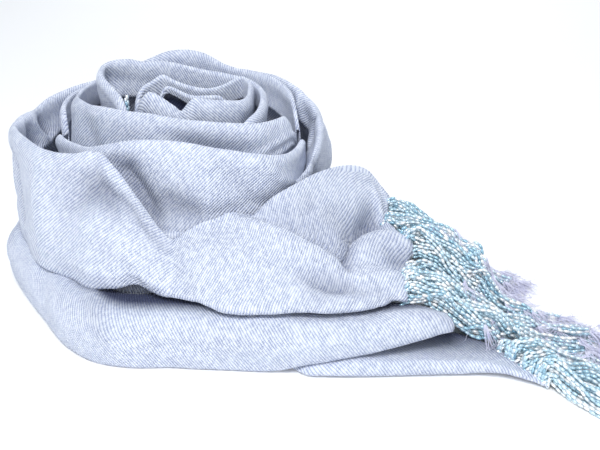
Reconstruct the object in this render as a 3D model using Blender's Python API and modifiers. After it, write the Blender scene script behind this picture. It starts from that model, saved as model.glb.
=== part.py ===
"""Fringed shawl, loosely rolled into a rosette on a table, its tail laid round the front.

The cloth is folded lengthwise and wound: every stretch that shows is a thin wall with a
rolled rim, made from a short table of sections. All table sizes are millimetres, and the
model is in metres, +Z up, standing on z = 0 with its origin under the middle of its box.
"""

import math

import bmesh
import bpy
import numpy as np

MM = 0.001
PLY = 1.6  # wall of each stretch, standing for the few thin layers of cloth in it
GAP = 0.3  # between one piece and the next
HEAP_CENTRE = (10.19, -83.82)  # middle of the laid shawl, in the tables' own x and y

BED_TOP = 52.0  # the hidden layers reach this high under the coil
BED_EYE = (-60.0, -65.0)  # the hidden layers' outline is measured from here
BED_LAYERS = 6  # folds that show as ridges round the edge of the hidden layers
BED_GROOVE = 1.6  # depth of the groove between two of them
BED_STEP = 19.0  # the hidden layers draw in above this height, under the top of the tail
BED_EASE = 6.0  # height over which they draw in
BED_DRAW = 0.7  # share of their drawing in that happens there; the rest is spread evenly
BED_ROUND = 2.2  # how far their lowest and highest edges are rounded inwards
BED_RIDGE = (0.3, 0.75)  # each layer bulges fully between these shares of its height

STAND = BED_TOP + 2 * GAP  # foot of a turn that stands on the hidden layers
FLOOR_FOOT = 2 * GAP  # foot of a turn that comes down to the table

FINE = 120  # steps in which a curve through a section's points is measured
ALONG = 19  # sections made along a stretch
INSIDE = 4  # points across the inner ply of a section, up to its crest
OUTSIDE = 6  # points across its face, from the crest to the foot
TAIL_ALONG = 32  # sections made along the top of the tail
TAIL_OUTSIDE = 13  # points across its face
CUFF_ALONG = 25  # sections made along the fold under it
FOLD_POINTS = 25  # points along a fold's line
FOLD_ENDS = (0.12, 0.92)  # shares of half a wave at which a fold's rise starts and ends

# Sections of an upright turn. facing: the way its outer side looks, in degrees from +X;
# x, y, rim: its crest; foot: height of its lower edge; out: how far the foot stands out
# from the crest; belly: bulge of the face; roll: width of the rolled rim; tuck: how far
# the inner ply hangs down; back: how far that ply leans inwards.
TURN = ("facing", "x", "y", "rim", "foot", "out", "belly", "roll", "tuck", "back")

CORE = [
    (185, -90, -31, 97, STAND, 1, 0, 3.5, 12, 1),
    (140, -88, -22, 101, STAND, 1, 0, 3.5, 12, 1),
    (100, -83, -15, 103, STAND, 1, 0, 3.5, 12, 1),
    (70, -76, -19, 102, STAND, 1, 0, 3.5, 12, 1),
    (75, -66, -25, 100, STAND, 1, 0, 3.5, 12, 1),
    (80, -54, -26, 99, STAND, 1, 0, 3.5, 12, 1),
    (40, -44, -24, 99, STAND, 1, 0, 3.5, 12, 1),
    (-30, -43, -31, 97, STAND, 1, 0, 3.5, 10, 1),
    (-85, -52, -37, 95, STAND, 1, 0, 3.5, 10, 1),
    (-95, -63, -36, 93, STAND, 1, 0, 3.5, 10, 1),
]

INNER = [
    (165, -99.5, -30, 102, STAND, 0, 0, 4, 14, 0),
    (135, -97, -18, 105, STAND, 1, 0, 4, 14, 0),
    (100, -88, -7, 107, STAND, 2, 1, 4, 14, 0),
    (80, -77, -10, 107, STAND, 2, 1, 4, 14, 0),
    (75, -67, -15, 105, STAND, 2, 1, 4, 14, 0),
    (88, -55, -14, 103.5, STAND, 2, 1, 4, 14, 0),
    (70, -42, -6, 103.5, STAND, 1, 1, 4, 14, 0),
    (15, -34, -13, 102, STAND, 1, 1, 4, 12, 0),
    (-20, -33, -30, 100, STAND, 1, 1, 4, 12, 0),
    (-60, -40, -45, 98, STAND, 1, 1, 4, 10, 0),
    (-85, -55, -50, 98, STAND, 1, 1, 4, 8, 0),
    (-95, -68, -48, 95.5, STAND, 1, 1, 4, 8, 0),
    (-98, -80, -44, 99, STAND, 1, 1, 4, 8, 0),
    (-115, -91, -40, 100, STAND, 1, 0, 4, 8, 0),
]

SECOND = [
    (235, -99, -47, 99, STAND, 1, 1, 4, 14, 0),
    (215, -110, -31, 105, STAND, 1, 1, 4, 16, 0),
    (190, -122.6, -13, 113, STAND, 1, 1, 4, 20, 2),
    (150, -121.6, -1, 114.5, STAND, 1, 1, 4, 22, 2),
    (115, -111, 8, 114, STAND, 2, 1, 4, 24, 1),
    (95, -97, 9, 112, STAND, 2, 1, 4, 24, 1),
    (95, -84, 12, 111, STAND, 2, 1, 4, 24, 0),
    (85, -66, 10, 108, STAND, 2, 1, 4, 20, 0),
    (80, -48, 5, 105.5, STAND, 2, 1, 4, 16, 0),
    (65, -33, 1, 103.5, STAND, 1, 1, 4, 14, 0),
    (20, -25, -11, 102, STAND, 1, 1, 4, 14, 0),
    (0, -23, -30, 100.5, STAND, 1, 1, 4, 14, 0),
    (-40, -28, -50, 98, STAND, 1, 1, 4, 10, 0),
    (-85, -42, -58, 94, STAND, 1, 0, 4, 8, 0),
]

THIRD = [
    (88, -58, 25.5, 97, STAND, 1, 1, 5, 16, 0),
    (105, -86, 28, 99, STAND, 1, 1, 5, 16, 0),
    (130, -113, 21, 101, STAND, 1, 1, 5, 16, 0),
    (155, -130, 3, 102, STAND, 2, 1, 5, 16, 0),
    (178, -134, -15, 103, STAND, 4, 1, 5, 16, 0),
    (202, -133.5, -31, 104, STAND, 6, 2, 5, 16, 0),
    (225, -125, -44, 104, STAND, 8, 2, 5, 14, 0),
    (243, -112, -54, 104, STAND, 9, 2, 5, 12, 0),
    (258, -97, -61.5, 104, STAND, 9, 2, 5, 10, 0),
    (266, -84, -65.5, 104, STAND, 9, 2, 5, 10, 0),
    (268, -70, -68, 103, STAND, 9, 2, 5, 10, 0),
    (270, -55, -71, 102, STAND, 8, 2, 5, 10, 0),
    (273, -39, -70.5, 101, STAND, 8, 2, 5, 10, 0),
    (284, -25, -68.5, 100, STAND, 6, 2, 5, 10, 0),
    (302, -16, -60.5, 99, STAND, 4, 1, 5, 12, 0),
    (322, -9, -50, 98, STAND, 1, 1, 5, 12, 0),
    (345, -5.5, -38, 96, STAND, 0, 0, 5, 12, 0),
]

FRONT = [
    (193, -143, -43, 87, STAND, 2, 0, 4, 12, 0),
    (213, -137.5, -61, 89, STAND, 3, 0, 4, 12, 0),
    (230, -126, -75, 90.5, STAND, 4, 0, 4, 12, 0),
    (247, -112, -88, 94, STAND, 5, 1, 5, 12, 0),
    (257, -103, -91, 97, STAND, 7, 1, 5, 12, 0),
    (264, -94, -90.5, 98.5, STAND, 10, 1, 5, 12, 0),
    (268, -81, -91, 99, STAND, 12, 2, 5, 12, 0),
    (270, -67, -92, 98, STAND, 13, 2, 5, 12, 0),
    (270, -54, -92, 96, STAND, 12, 2, 5, 12, 0),
    (271, -41, -90.5, 93, STAND, 8, 2, 5, 12, 0),
    (277, -21, -87, 88, STAND, 3, 1, 5, 12, 0),
    (293, -9, -76.5, 84.5, STAND, 1, 1, 5, 10, 0),
    (322, -2.5, -62, 82.5, STAND, 0, 1, 5, 10, 0),
    (345, 1, -48, 82, STAND, 0, 0, 5, 10, 0),
    (360, 2, -35, 81, STAND, 0, 0, 5, 10, 0),
]

BACK = [
    (205, -145, -24, 88, STAND, 2, 0, 4, 14, 0),
    (188, -149, -8, 90, STAND, 2, 0, 4, 14, 0),
    (165, -147, 8, 92, STAND, 2, 0, 4, 14, 0),
    (145, -137, 22, 94, STAND, 1, 1, 5, 16, 0),
    (122, -119, 33, 99, STAND, 0, 1, 5, 18, 0),
    (108, -101, 38, 106, STAND, 0, 1, 6, 22, 1),
    (95, -83, 41, 111, STAND, 0, 1, 6, 24, 1),
    (84, -66, 39, 109.5, STAND, 0, 1, 6, 22, 1),
    (72, -48, 33, 102, STAND, 0, 1, 6, 18, 0),
    (58, -32, 26, 101, STAND, 0, 1, 5, 18, 0),
    (42, -18, 14, 101, STAND, 0, 1, 5, 20, 2),
    (25, -9, 0, 99, STAND, 0, 1, 5, 20, 2),
    (12, -5, -14, 97, STAND, 0, 0, 5, 18, 0),
    (2, -1.5, -28, 95, STAND, 0, 0, 4, 14, 0),
]

WRAP_RIGHT = [
    (300, -2, -78, 69, STAND, 0, 1, 4, 7, 0),
    (318, 5, -68, 74, STAND, 1, 1, 4, 9, 0),
    (338, 9.5, -53, 79, STAND, 1, 2, 4, 12, 0),
    (352, 11.8, -37, 82, STAND, 0, 3, 4, 16, 0),
    (4, 11.8, -24, 84, STAND, 0, 3, 4, 18, 0),
    (12, 10.5, -12, 86, 22, 2, 3, 4, 20, 0),
    (24, 7, 2, 89, FLOOR_FOOT, 4, 4, 5, 20, 0),
    (42, -2, 16, 93, FLOOR_FOOT, 5, 4, 5, 20, 0),
    (58, -16, 30, 97, FLOOR_FOOT, 5, 4, 5, 20, 0),
    (76, -35, 42, 97, FLOOR_FOOT, 5, 4, 5, 18, 0),
    (90, -57.6, 52.5, 96, FLOOR_FOOT, 5, 4, 5, 16, 0),
]

WRAP_LEFT = [
    (185, -166.8, -48.7, 93, 33, 3.6, 0.5, 5, 21, 2),
    (178, -167.8, -30, 90, 33, 5, 1, 5, 22, 2),
    (170, -166.3, -12, 89, 33, 5, 2, 5, 22, 2),
    (158, -162, 6, 90, 30, 4, 2, 5, 22, 2),
    (143, -150, 24, 91, 14, 5, 3, 5, 20, 2),
    (128, -133, 38, 92, FLOOR_FOOT, 5, 4, 5, 20, 0),
    (113, -112, 48, 94, FLOOR_FOOT, 5, 4, 5, 20, 0),
    (98, -86, 54, 96, FLOOR_FOOT, 5, 4, 5, 18, 0),
    (90, -58.6, 52.8, 96, FLOOR_FOOT, 5, 4, 5, 16, 0),
]

TAIL_TOP = [
    (186, -166.2, -49.5, 93.5, 33, 3.5, 0, 5, 20, 2),
    (194, -164.3, -60, 96, 32, 4, 0, 5, 16, 2),
    (212, -153.5, -78, 97, 31, 6, 1, 5, 12, 2),
    (236, -139, -93.5, 95.5, 31.4, 12, 2, 5, 10, 1),
    (250, -119, -101.5, 95.5, 31, 17, 3, 5, 7, 0),
    (257, -104.5, -104.5, 97.5, 31, 26, 3, 5, 5, 0),
    (261, -96, -108.5, 88.5, 33, 25, 3, 4, 4, 0),
    (264, -83, -116, 73, 34, 18, 4, 4, 4, 0),
    (266, -74.3, -118.5, 59.5, 33, 18, 5, 4, 4, 0),
    (268, -69, -119.5, 53.8, 32, 20, 5, 4, 4, 0),
    (270, -61.7, -115.5, 55.5, 31.5, 28, 5, 4, 4, 0),
    (270, -54, -112, 58.5, 31.6, 34, 5, 4, 4, 0),
    (270, -36, -103.5, 61, 31.6, 53, 6, 4, 5, 0),
    (270, -18.5, -97, 66.5, 31.6, 60, 5, 4, 5, 0),
    (270, -5.5, -90.5, 71, 31.6, 66, 4, 5, 5, 0),
    (270, 11, -76, 73.5, 31.6, 81, 4, 5, 6, 1),
    (270, 20.5, -67, 72.5, 31.6, 89, 4, 6, 8, 2),
    (270, 26, -62, 71, 31.6, 93, 4, 6, 64, 36),
    (270, 35, -55, 67.5, 31.6, 98, 4, 6, 62, 32),
    (270, 42, -51.5, 63, 31.6, 99, 3, 6, 58, 30),
    (270, 48.5, -54, 57, 31.6, 92, 2, 6, 52, 32),
    (270, 56, -59, 50.5, 30, 85, 1, 6, 46, 34),
]

# Folds across the top of the tail: from a through m to b in plan, half their width, and
# how far they rise (or, below zero, sink).
FOLD = ("xa", "ya", "xm", "ym", "xb", "yb", "width", "rise")

TAIL_FOLDS = [
    (-40, -101, -6, -118, 24, -129, 6, 3.0),
    (-38, -96, -4, -109, 26, -120, 6, -6.0),
    (2, -134, 14, -137, 28, -138, 9, -2.5),
    (28, -104, 40, -88, 58, -76, 7, -9.0),
    (28, -112, 46, -102, 66, -104, 7, 4.0),
    (30, -124, 44, -120, 62, -120, 5, -4.0),
]

# How far the beaded hem of the top of the tail reaches to the right, from back to front.
TAIL_HEM = (("y", "x"), [(-20, 56), (-60, 54), (-82, 50), (-106, 67), (-122, 58), (-150, 56)])
HEM_EASE = 26.0  # the last stretch of the tail, which takes up the hem's waves

# Sections of the fold under it. x, y: the outermost line of its face; top, foot: heights;
# set_in: how far the shoulder stands back; run: how far the upper ply runs in under the top.
CUFF = ("facing", "x", "y", "top", "foot", "set_in", "run")

TAIL_MIDDLE = [
    (148, -169, 14, 24, FLOOR_FOOT, 5, 3),
    (166, -178, -12, 27, FLOOR_FOOT, 6, 3),
    (181, -181, -38, 28, FLOOR_FOOT, 7, 5),
    (200, -178.5, -64, 28, FLOOR_FOOT, 8, 5),
    (216, -165, -90, 28, FLOOR_FOOT, 9, 5),
    (228, -146, -117.5, 28, FLOOR_FOOT, 10, 6),
    (242, -124, -146, 28, FLOOR_FOOT, 11, 8),
    (257, -103, -160, 28, FLOOR_FOOT, 10, 20),
    (268, -62, -163, 28, FLOOR_FOOT, 8, 24),
    (270, -26, -165.5, 28, FLOOR_FOOT, 8, 24),
    (270, -8, -167, 28, 2.4, 8, 24),
    (270, 0, -168, 28, 5.0, 8, 24),
    (270, 12, -168, 28, 7.2, 8, 24),
    (270, 25, -167, 28.3, 9.6, 7, 22),
    (272, 51, -163.5, 28, 15, 6, 16),
    (276, 66, -160, 28, 17.8, 5, 10),
    (284, 78, -156.5, 26, 20.5, 3, 5),
]

# Sections of the lowest fold. x: its place along the tail; front, behind: the y of its
# folded edge and of its far edge; top: height of the upper ply; lift: height of the edge.
SLIP = ("x", "front", "behind", "top", "lift")

SLIP_FLANGE = 7.0  # how far the lower ply runs in from the folded edge
SLIP_SHOULDER = (2.5, 8.0)  # how far in the upper ply levels out, and where it lies flat

TAIL_BOTTOM = [
    (-11, -157, -148, 1.9, 0),
    (-6, -160, -146, 2.1, 0),
    (-2, -164.5, -144, 2.4, 0),
    (3, -168.5, -142, 3.9, 0),
    (12, -169.5, -140, 5.4, 0),
    (22, -170, -140, 6.9, 0),
    (41, -169.5, -140, 8.0, 0),
    (66, -168.5, -140, 8.6, 0),
    (82, -168.3, -141, 8.6, 0.6),
    (94, -168.8, -147, 8.2, 1.4),
    (104, -170.5, -155, 7.0, 1.8),
    (115, -175, -164, 5.0, 1.4),
    (124, -179.5, -173.5, 3.0, 0.6),
]

# Outline of the hidden layers about their eye: direction in degrees, and its reach at the
# table and at the top.
BED = (("angle", "low", "high"), [
    (0, 108, 62), (15, 98, 60), (30, 70, 62), (45, 78, 72), (60, 88, 80), (75, 92, 86),
    (90, 96, 90), (105, 98, 92), (120, 102, 95), (135, 104, 97), (150, 102, 97),
    (165, 101, 97), (180, 101, 98), (195, 95, 89), (210, 85, 76), (225, 82, 68),
    (240, 84, 58), (255, 84, 50), (270, 85, 46), (285, 84, 42), (300, 82, 42),
    (315, 90, 46), (330, 104, 56), (345, 112, 62),
])

# Sections of a mass of beaded fringe. x: its place; front, behind: its y limits; low, top:
# its heights.
MASS = ("x", "front", "behind", "low", "top")
MASS_SIDE = 0.35  # height of a mass's sides beside that of its middle
MASS_ACROSS = (1, 0.82, 0.45, 0, -0.45, -0.82, -1)  # places of the points across its back

FRINGE_UPPER = [
    (56.5, -78, -26, 1, 41),
    (82, -91.5, -36, 0.6, 31),
    (98, -102, -52, 0.4, 23),
    (116, -109, -68, 0.4, 16),
    (142, -115, -76, 0.4, 10),
    (172, -118, -78, 0.4, 5),
]

FRINGE_MIDDLE = [
    (67.4, -149, -85.2, 9.8, 30),
    (80, -151, -92.5, 9.8, 28),
    (97, -152, -103, 9.8, 23),
    (104, -153, -106, 9.4, 20),
    (113, -154, -109.5, 1, 17),
    (146, -161, -117, 0.5, 11),
    (180, -171, -120, 0.4, 5),
]

FRINGE_LOWER = [
    (124.6, -176, -160, 0.4, 7),
    (134, -188, -162.5, 0.4, 9),
    (150, -202, -167, 0.4, 9),
    (174, -218, -175, 0.4, 7),
    (202, -232, -190, 0.4, 4),
]

FRINGE_EYE = [
    (-106.4, -31, -24, 80, 99),
    (-105, -32, -22, 78, 101),
    (-103.2, -31, -24, 80, 99),
]

CLOTH_COLOUR = (0.66, 0.72, 0.86, 1)
CLOTH_SHADE = (0.50, 0.57, 0.76, 1)
BEAD_COLOUR = (0.45, 0.66, 0.72, 1)


def between(rows, count):
    """Rows of a table read at count even steps of its length, on smooth curves through them
    that keep within the table's own least and greatest values."""
    table = np.array(rows, float)
    steps = np.hypot(*np.diff(table[:, 1:3], axis=0).T)
    at = np.concatenate([[0], np.cumsum(steps)])
    slopes = np.gradient(table, at, axis=0)
    wanted = np.linspace(0, at[-1], count)
    low = np.clip(np.searchsorted(at, wanted, "right") - 1, 0, len(at) - 2)
    span = (at[low + 1] - at[low])[:, None]
    t = (wanted - at[low])[:, None] / span
    curve = (
        (2 * t**3 - 3 * t**2 + 1) * table[low]
        + (t**3 - 2 * t**2 + t) * span * slopes[low]
        + (3 * t**2 - 2 * t**3) * table[low + 1]
        + (t**3 - t**2) * span * slopes[low + 1]
    )
    return np.clip(curve, table.min(axis=0), table.max(axis=0))


def along_section(points, crest, inside, outside):
    """A smooth curve through a section's few points: inside points up to its crest, which is
    one of them, and outside points from there on, each lot evenly spaced."""
    points = np.array(points, float)
    numbered = np.column_stack([np.zeros(len(points)), points])
    fine = between(numbered, FINE)[:, 1:]
    steps = np.hypot(*np.diff(fine, axis=0).T)
    at = np.concatenate([[0], np.cumsum(steps)])
    top = at[np.hypot(*(fine - points[crest]).T).argmin()]
    before = np.linspace(0, top, inside)[:-1]
    after = np.linspace(top, at[-1], outside)
    wanted = np.concatenate([before, after])
    return np.column_stack([np.interp(wanted, at, column) for column in fine.T])


def turn_section(row, inside=INSIDE, outside=OUTSIDE):
    """Inner ply, rolled rim and outer face of an upright turn, as (out, z) points."""
    half = row["roll"] / 2
    fall = row["foot"] - row["rim"]
    hang = row["tuck"]
    inner = [
        (-half - row["back"], row["rim"] - hang),
        (-half - 0.35 * row["back"], row["rim"] - 0.55 * hang - 0.2 * row["roll"]),
        (-0.85 * half, row["rim"] - 0.35 * row["roll"]),
        (0, row["rim"]),
    ]
    outer = [
        (0, row["rim"]),
        (0.85 * half, row["rim"] - 0.35 * row["roll"]),
        (half + 0.30 * row["out"] + 0.8 * row["belly"], row["rim"] + 0.33 * fall),
        (half + 0.66 * row["out"] + row["belly"], row["rim"] + 0.68 * fall),
        (half + row["out"], row["foot"]),
    ]
    curve = inner + outer[1:]
    crest = len(inner) - 1
    return along_section(curve, crest, inside, outside)


def cuff_section(row):
    """Face, shoulder and upper ply of the fold under the tail's top, as (out, z) points."""
    tall = row["top"] - row["foot"]
    curve = [
        (-1.5, row["foot"]),
        (-0.2, row["foot"] + 0.22 * tall),
        (0, row["foot"] + 0.5 * tall),
        (-0.3 * row["set_in"], row["foot"] + 0.82 * tall),
        (-row["set_in"], row["top"]),
        (-row["set_in"] - row["run"], row["top"]),
    ]
    return along_section(curve, 4, OUTSIDE, INSIDE)


def named(columns, values):
    return dict(zip(columns, values))


def placed(row, section):
    """A section's (out, z) points stood at its row's place, looking the row's way."""
    way = math.radians(row["facing"])
    return [(row["x"] + out * math.cos(way), row["y"] + out * math.sin(way), z) for out, z in section]


def unwrapped(rows):
    """The table with its headings made continuous, so that none turns the long way round."""
    table = np.array(rows, float)
    table[:, 0] = np.degrees(np.unwrap(np.radians(table[:, 0])))
    return table


def stretch_grid(columns, rows, section, along=ALONG, **counts):
    """Points of a stretch, one line of them for each section."""
    lines = []
    for values in between(unwrapped(rows), along):
        row = named(columns, values)
        lines.append(placed(row, section(row, **counts)))
    return np.array(lines)


def fold_lift(grid, folds):
    """How far each point of a grid rises for the folds that pass it."""
    lift = np.zeros(grid.shape[:2])
    for values in folds:
        fold = named(FOLD, values)
        t = np.linspace(0, 1, FOLD_POINTS)
        line = [
            (1 - t) ** 2 * fold[axis + "a"]
            + 2 * t * (1 - t) * (2 * fold[axis + "m"] - (fold[axis + "a"] + fold[axis + "b"]) / 2)
            + t**2 * fold[axis + "b"]
            for axis in "xy"
        ]
        away = np.hypot(grid[..., 0, None] - line[0], grid[..., 1, None] - line[1])
        nearest = away.argmin(axis=-1)
        fade = np.sin(np.pi * np.interp(t[nearest], (0, 1), FOLD_ENDS))
        lift += fold["rise"] * fade * np.exp(-((away.min(axis=-1) / fold["width"]) ** 2))
    return lift


def to_hem(grid):
    """Stretches the tail's last part so that its end follows the waves of the hem."""
    hem = np.array(TAIL_HEM[1], float)[::-1]
    end = grid[-1, :, 0].max()
    reach = np.interp(grid[..., 1], hem[:, 0], hem[:, 1]) - end
    share = np.clip((grid[..., 0] - end + HEM_EASE) / HEM_EASE, 0, 1)
    grid[..., 0] += reach * share**2
    return grid


def slip_grid():
    """The lowest fold: a flange on the table, a folded front edge and an upper ply."""
    lines = []
    bottom = PLY / 2
    rows = [(0, values[0], 0) + values[1:] for values in TAIL_BOTTOM]
    for values in between(rows, ALONG):
        row = named(SLIP, values[[1, 3, 4, 5, 6]])
        mid = (row["top"] + bottom) / 2 + row["lift"] / 2
        curve = [
            (row["front"] + SLIP_FLANGE, bottom + row["lift"]),
            (row["front"] + 0.43 * SLIP_FLANGE, bottom + row["lift"]),
            (row["front"] + 0.11 * SLIP_FLANGE, 0.7 * bottom + 0.3 * mid + row["lift"]),
            (row["front"], mid),
            (row["front"] + SLIP_SHOULDER[0], row["top"]),
            (row["front"] + SLIP_SHOULDER[1], row["top"]),
            (row["behind"], row["top"]),
        ]
        section = along_section(curve, 4, OUTSIDE, INSIDE)
        lines.append([(row["x"], y, z) for y, z in section])
    return np.array(lines)


def colour_of(name, colour, roughness, metallic=0.0):
    material = bpy.data.materials.new(name)
    material.use_nodes = True
    shader = material.node_tree.nodes["Principled BSDF"]
    shader.inputs["Base Color"].default_value = colour
    shader.inputs["Roughness"].default_value = roughness
    shader.inputs["Metallic"].default_value = metallic
    return material


def add_piece(name, points, faces, material, collection, origin):
    mesh = bpy.data.meshes.new(name)
    mesh.from_pydata([tuple(MM * value for value in point) for point in points], [], faces)
    mesh.shade_smooth()
    mesh.materials.append(material)
    piece = bpy.data.objects.new(name, mesh)
    piece.parent = origin
    collection.objects.link(piece)
    return piece


def add_wall(name, grid, material, collection, origin):
    """An open sheet of points, thickened evenly to both sides."""
    along, across = grid.shape[:2]
    faces = [
        (i * across + j, i * across + j + 1, (i + 1) * across + j + 1, (i + 1) * across + j)
        for i in range(along - 1)
        for j in range(across - 1)
    ]
    piece = add_piece(name, grid.reshape(-1, 3), faces, material, collection, origin)
    shell = piece.modifiers.new("ply", "SOLIDIFY")
    shell.thickness = PLY * MM
    shell.offset = 0
    return piece


def add_loft(name, rings, material, collection, origin):
    """A closed solid through rings of points, capped at both ends."""
    count = len(rings[0])
    faces = [
        (i * count + j, i * count + (j + 1) % count, (i + 1) * count + (j + 1) % count, (i + 1) * count + j)
        for i in range(len(rings) - 1)
        for j in range(count)
    ]
    last = (len(rings) - 1) * count
    faces.append(tuple(range(count))[::-1])
    faces.append(tuple(last + j for j in range(count)))
    points = [point for ring in rings for point in ring]
    piece = add_piece(name, points, faces, material, collection, origin)
    mesh = bmesh.new()
    mesh.from_mesh(piece.data)
    bmesh.ops.recalc_face_normals(mesh, faces=mesh.faces)
    mesh.to_mesh(piece.data)
    mesh.free()
    return piece


def bed_rings():
    """Rings of the hidden layers: a flat underside, then one ridge for each folded layer."""
    table = np.array(BED[1], float)
    layer = BED_TOP / BED_LAYERS
    heights = [(0.0, BED_ROUND)]
    for number in range(BED_LAYERS):
        low = number * layer
        heights.extend((low + share * layer, 0) for share in BED_RIDGE)
        if number < BED_LAYERS - 1:
            heights.append((low + layer, BED_GROOVE))
    heights.append((BED_TOP, BED_ROUND))
    rings = []
    for z, inset in heights:
        rise = BED_DRAW * np.clip((z - BED_STEP) / BED_EASE, 0, 1) + (1 - BED_DRAW) * z / BED_TOP
        reach = table[:, 1] + (table[:, 2] - table[:, 1]) * rise - inset
        way = np.radians(table[:, 0])
        rings.append([
            (BED_EYE[0] + r * math.cos(a), BED_EYE[1] + r * math.sin(a), z) for r, a in zip(reach, way)
        ])
    return rings


def mass_rings(rows):
    """Rings of a mass of fringe: flat below, rounded above, lower at its two sides."""
    rings = []
    for values in rows:
        row = named(MASS, values)
        middle = (row["front"] + row["behind"]) / 2
        half = (row["behind"] - row["front"]) / 2
        tall = row["top"] - row["low"]
        ring = [(row["x"], middle - half, row["low"]), (row["x"], middle + half, row["low"])]
        for share in MASS_ACROSS:
            height = row["low"] + tall * (MASS_SIDE + (1 - MASS_SIDE) * math.sqrt(1 - share**2))
            ring.append((row["x"], middle + half * share, height))
        rings.append(ring)
    return rings


def clear_scene():
    for thing in list(bpy.data.objects):
        bpy.data.objects.remove(thing, do_unlink=True)


def build():
    clear_scene()
    collection = bpy.data.collections.new("fringed_shawl")
    bpy.context.scene.collection.children.link(collection)
    origin = bpy.data.objects.new("heap_origin", None)
    origin.location = (-HEAP_CENTRE[0] * MM, -HEAP_CENTRE[1] * MM, 0)
    collection.objects.link(origin)

    turns = {
        "coil_core": CORE,
        "coil_inner": INNER,
        "coil_second": SECOND,
        "coil_third": THIRD,
        "coil_front": FRONT,
        "coil_back": BACK,
        "wrap_right": WRAP_RIGHT,
        "wrap_left": WRAP_LEFT,
    }
    for name, rows in turns.items():
        cloth = colour_of(name, CLOTH_COLOUR, 0.75)
        add_wall(name, stretch_grid(TURN, rows, turn_section), cloth, collection, origin)

    top = stretch_grid(TURN, TAIL_TOP, turn_section, along=TAIL_ALONG, outside=TAIL_OUTSIDE)
    top[..., 2] += fold_lift(top, TAIL_FOLDS)
    add_wall("tail_top", to_hem(top), colour_of("tail_top", CLOTH_COLOUR, 0.75), collection, origin)

    middle = stretch_grid(CUFF, TAIL_MIDDLE, cuff_section, along=CUFF_ALONG)
    add_wall("tail_middle", middle, colour_of("tail_middle", CLOTH_COLOUR, 0.75), collection, origin)
    add_wall("tail_bottom", slip_grid(), colour_of("tail_bottom", CLOTH_COLOUR, 0.75), collection, origin)

    layers = colour_of("inner_layers", CLOTH_SHADE, 0.85)
    add_loft("inner_layers", bed_rings(), layers, collection, origin)

    fringes = {
        "fringe_upper": FRINGE_UPPER,
        "fringe_middle": FRINGE_MIDDLE,
        "fringe_lower": FRINGE_LOWER,
        "fringe_eye": FRINGE_EYE,
    }
    for name, rows in fringes.items():
        add_loft(name, mass_rings(rows), colour_of(name, BEAD_COLOUR, 0.25, 0.3), collection, origin)


build()
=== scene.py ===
"""Looks of the fringed shawl: its turns of twill cloth, the folds of its tail and its beads.

The cloth is built from short tables of sections, like the solids that it covers, read much
finer and then creased. Tables are in millimetres in the laid shawl's own plan, whose
middle is HEAP_CENTRE; everything that is made from them is in metres, +Z up.
"""

import math

import bpy
import numpy as np
from bpy.props import FloatProperty, FloatVectorProperty, IntProperty, PointerProperty
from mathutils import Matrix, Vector


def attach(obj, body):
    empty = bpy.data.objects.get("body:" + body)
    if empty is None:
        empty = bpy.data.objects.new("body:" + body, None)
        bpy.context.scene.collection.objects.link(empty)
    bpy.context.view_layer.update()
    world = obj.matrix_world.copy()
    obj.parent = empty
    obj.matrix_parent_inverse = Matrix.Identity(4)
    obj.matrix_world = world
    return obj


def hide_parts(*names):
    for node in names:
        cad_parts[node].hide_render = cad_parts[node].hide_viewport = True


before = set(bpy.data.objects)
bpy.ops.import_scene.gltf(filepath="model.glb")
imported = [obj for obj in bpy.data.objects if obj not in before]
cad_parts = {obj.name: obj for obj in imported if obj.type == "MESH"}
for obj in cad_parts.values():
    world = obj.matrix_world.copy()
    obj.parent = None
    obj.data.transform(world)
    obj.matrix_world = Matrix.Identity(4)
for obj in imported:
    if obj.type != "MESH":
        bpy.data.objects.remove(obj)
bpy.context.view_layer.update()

bl_info = {
    "name": "Rolled Fringed Shawl",
    "version": (1, 0, 0),
    "blender": (4, 5, 0),
    "location": "View3D > Sidebar > Shawl",
    "description": "Builds a loosely rolled twill shawl with a beaded fringe",
    "category": "Object",
}

MM = 0.001
TINY = 1e-9  # the least length that anything is divided by
HEAP_CENTRE = (10.19, -83.82)  # middle of the laid shawl, in the tables' own x and y

BED_TOP = 52.0  # the hidden layers reach this high under the coil
BED_EYE = (-60.0, -65.0)  # the hidden layers' outline is measured from here
BED_LAYERS = 6  # folded layers that show round the edge of the heap
STAND = BED_TOP + 0.6  # foot of a turn that stands on the hidden layers
FLOOR_FOOT = 0.6  # foot of a turn that comes down to the table
FLOOR_CLEAR = 0.1  # no cloth lies nearer the table than this

# Sections of an upright turn. facing: the way its outer side looks, in degrees from +X;
# x, y, rim: its crest; foot: height of its lower edge; out: how far the foot stands out
# from the crest; belly: bulge of the face; roll: width of the rolled rim; tuck: how far
# the inner ply hangs down; back: how far that ply leans inwards.
TURN = ("facing", "x", "y", "rim", "foot", "out", "belly", "roll", "tuck", "back")

CORE = [
    (170, -88, -33, 96, STAND, 1, 0, 3.5, 5, 0),
    (150, -87, -28, 102, STAND, 4, 0, 3.5, 4, 0),
    (110, -82.5, -24, 108, STAND, 7, 1, 3.5, 4, 0),
    (80, -76, -24, 105.5, STAND, 7, 1, 3.5, 4, 0),
    (80, -66.6, -26, 101.5, STAND, 6, 1, 3.5, 5, 0),
    (85, -56, -27, 101.5, STAND, 4, 1, 3.5, 8, 0),
    (70, -47, -26, 101.5, STAND, 2, 1, 3.5, 8, 0),
    (30, -42, -29, 100, STAND, 1, 0, 3.5, 8, 0),
    (-10, -41, -35, 97, STAND, 1, 0, 3.5, 8, 0),
]

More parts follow.
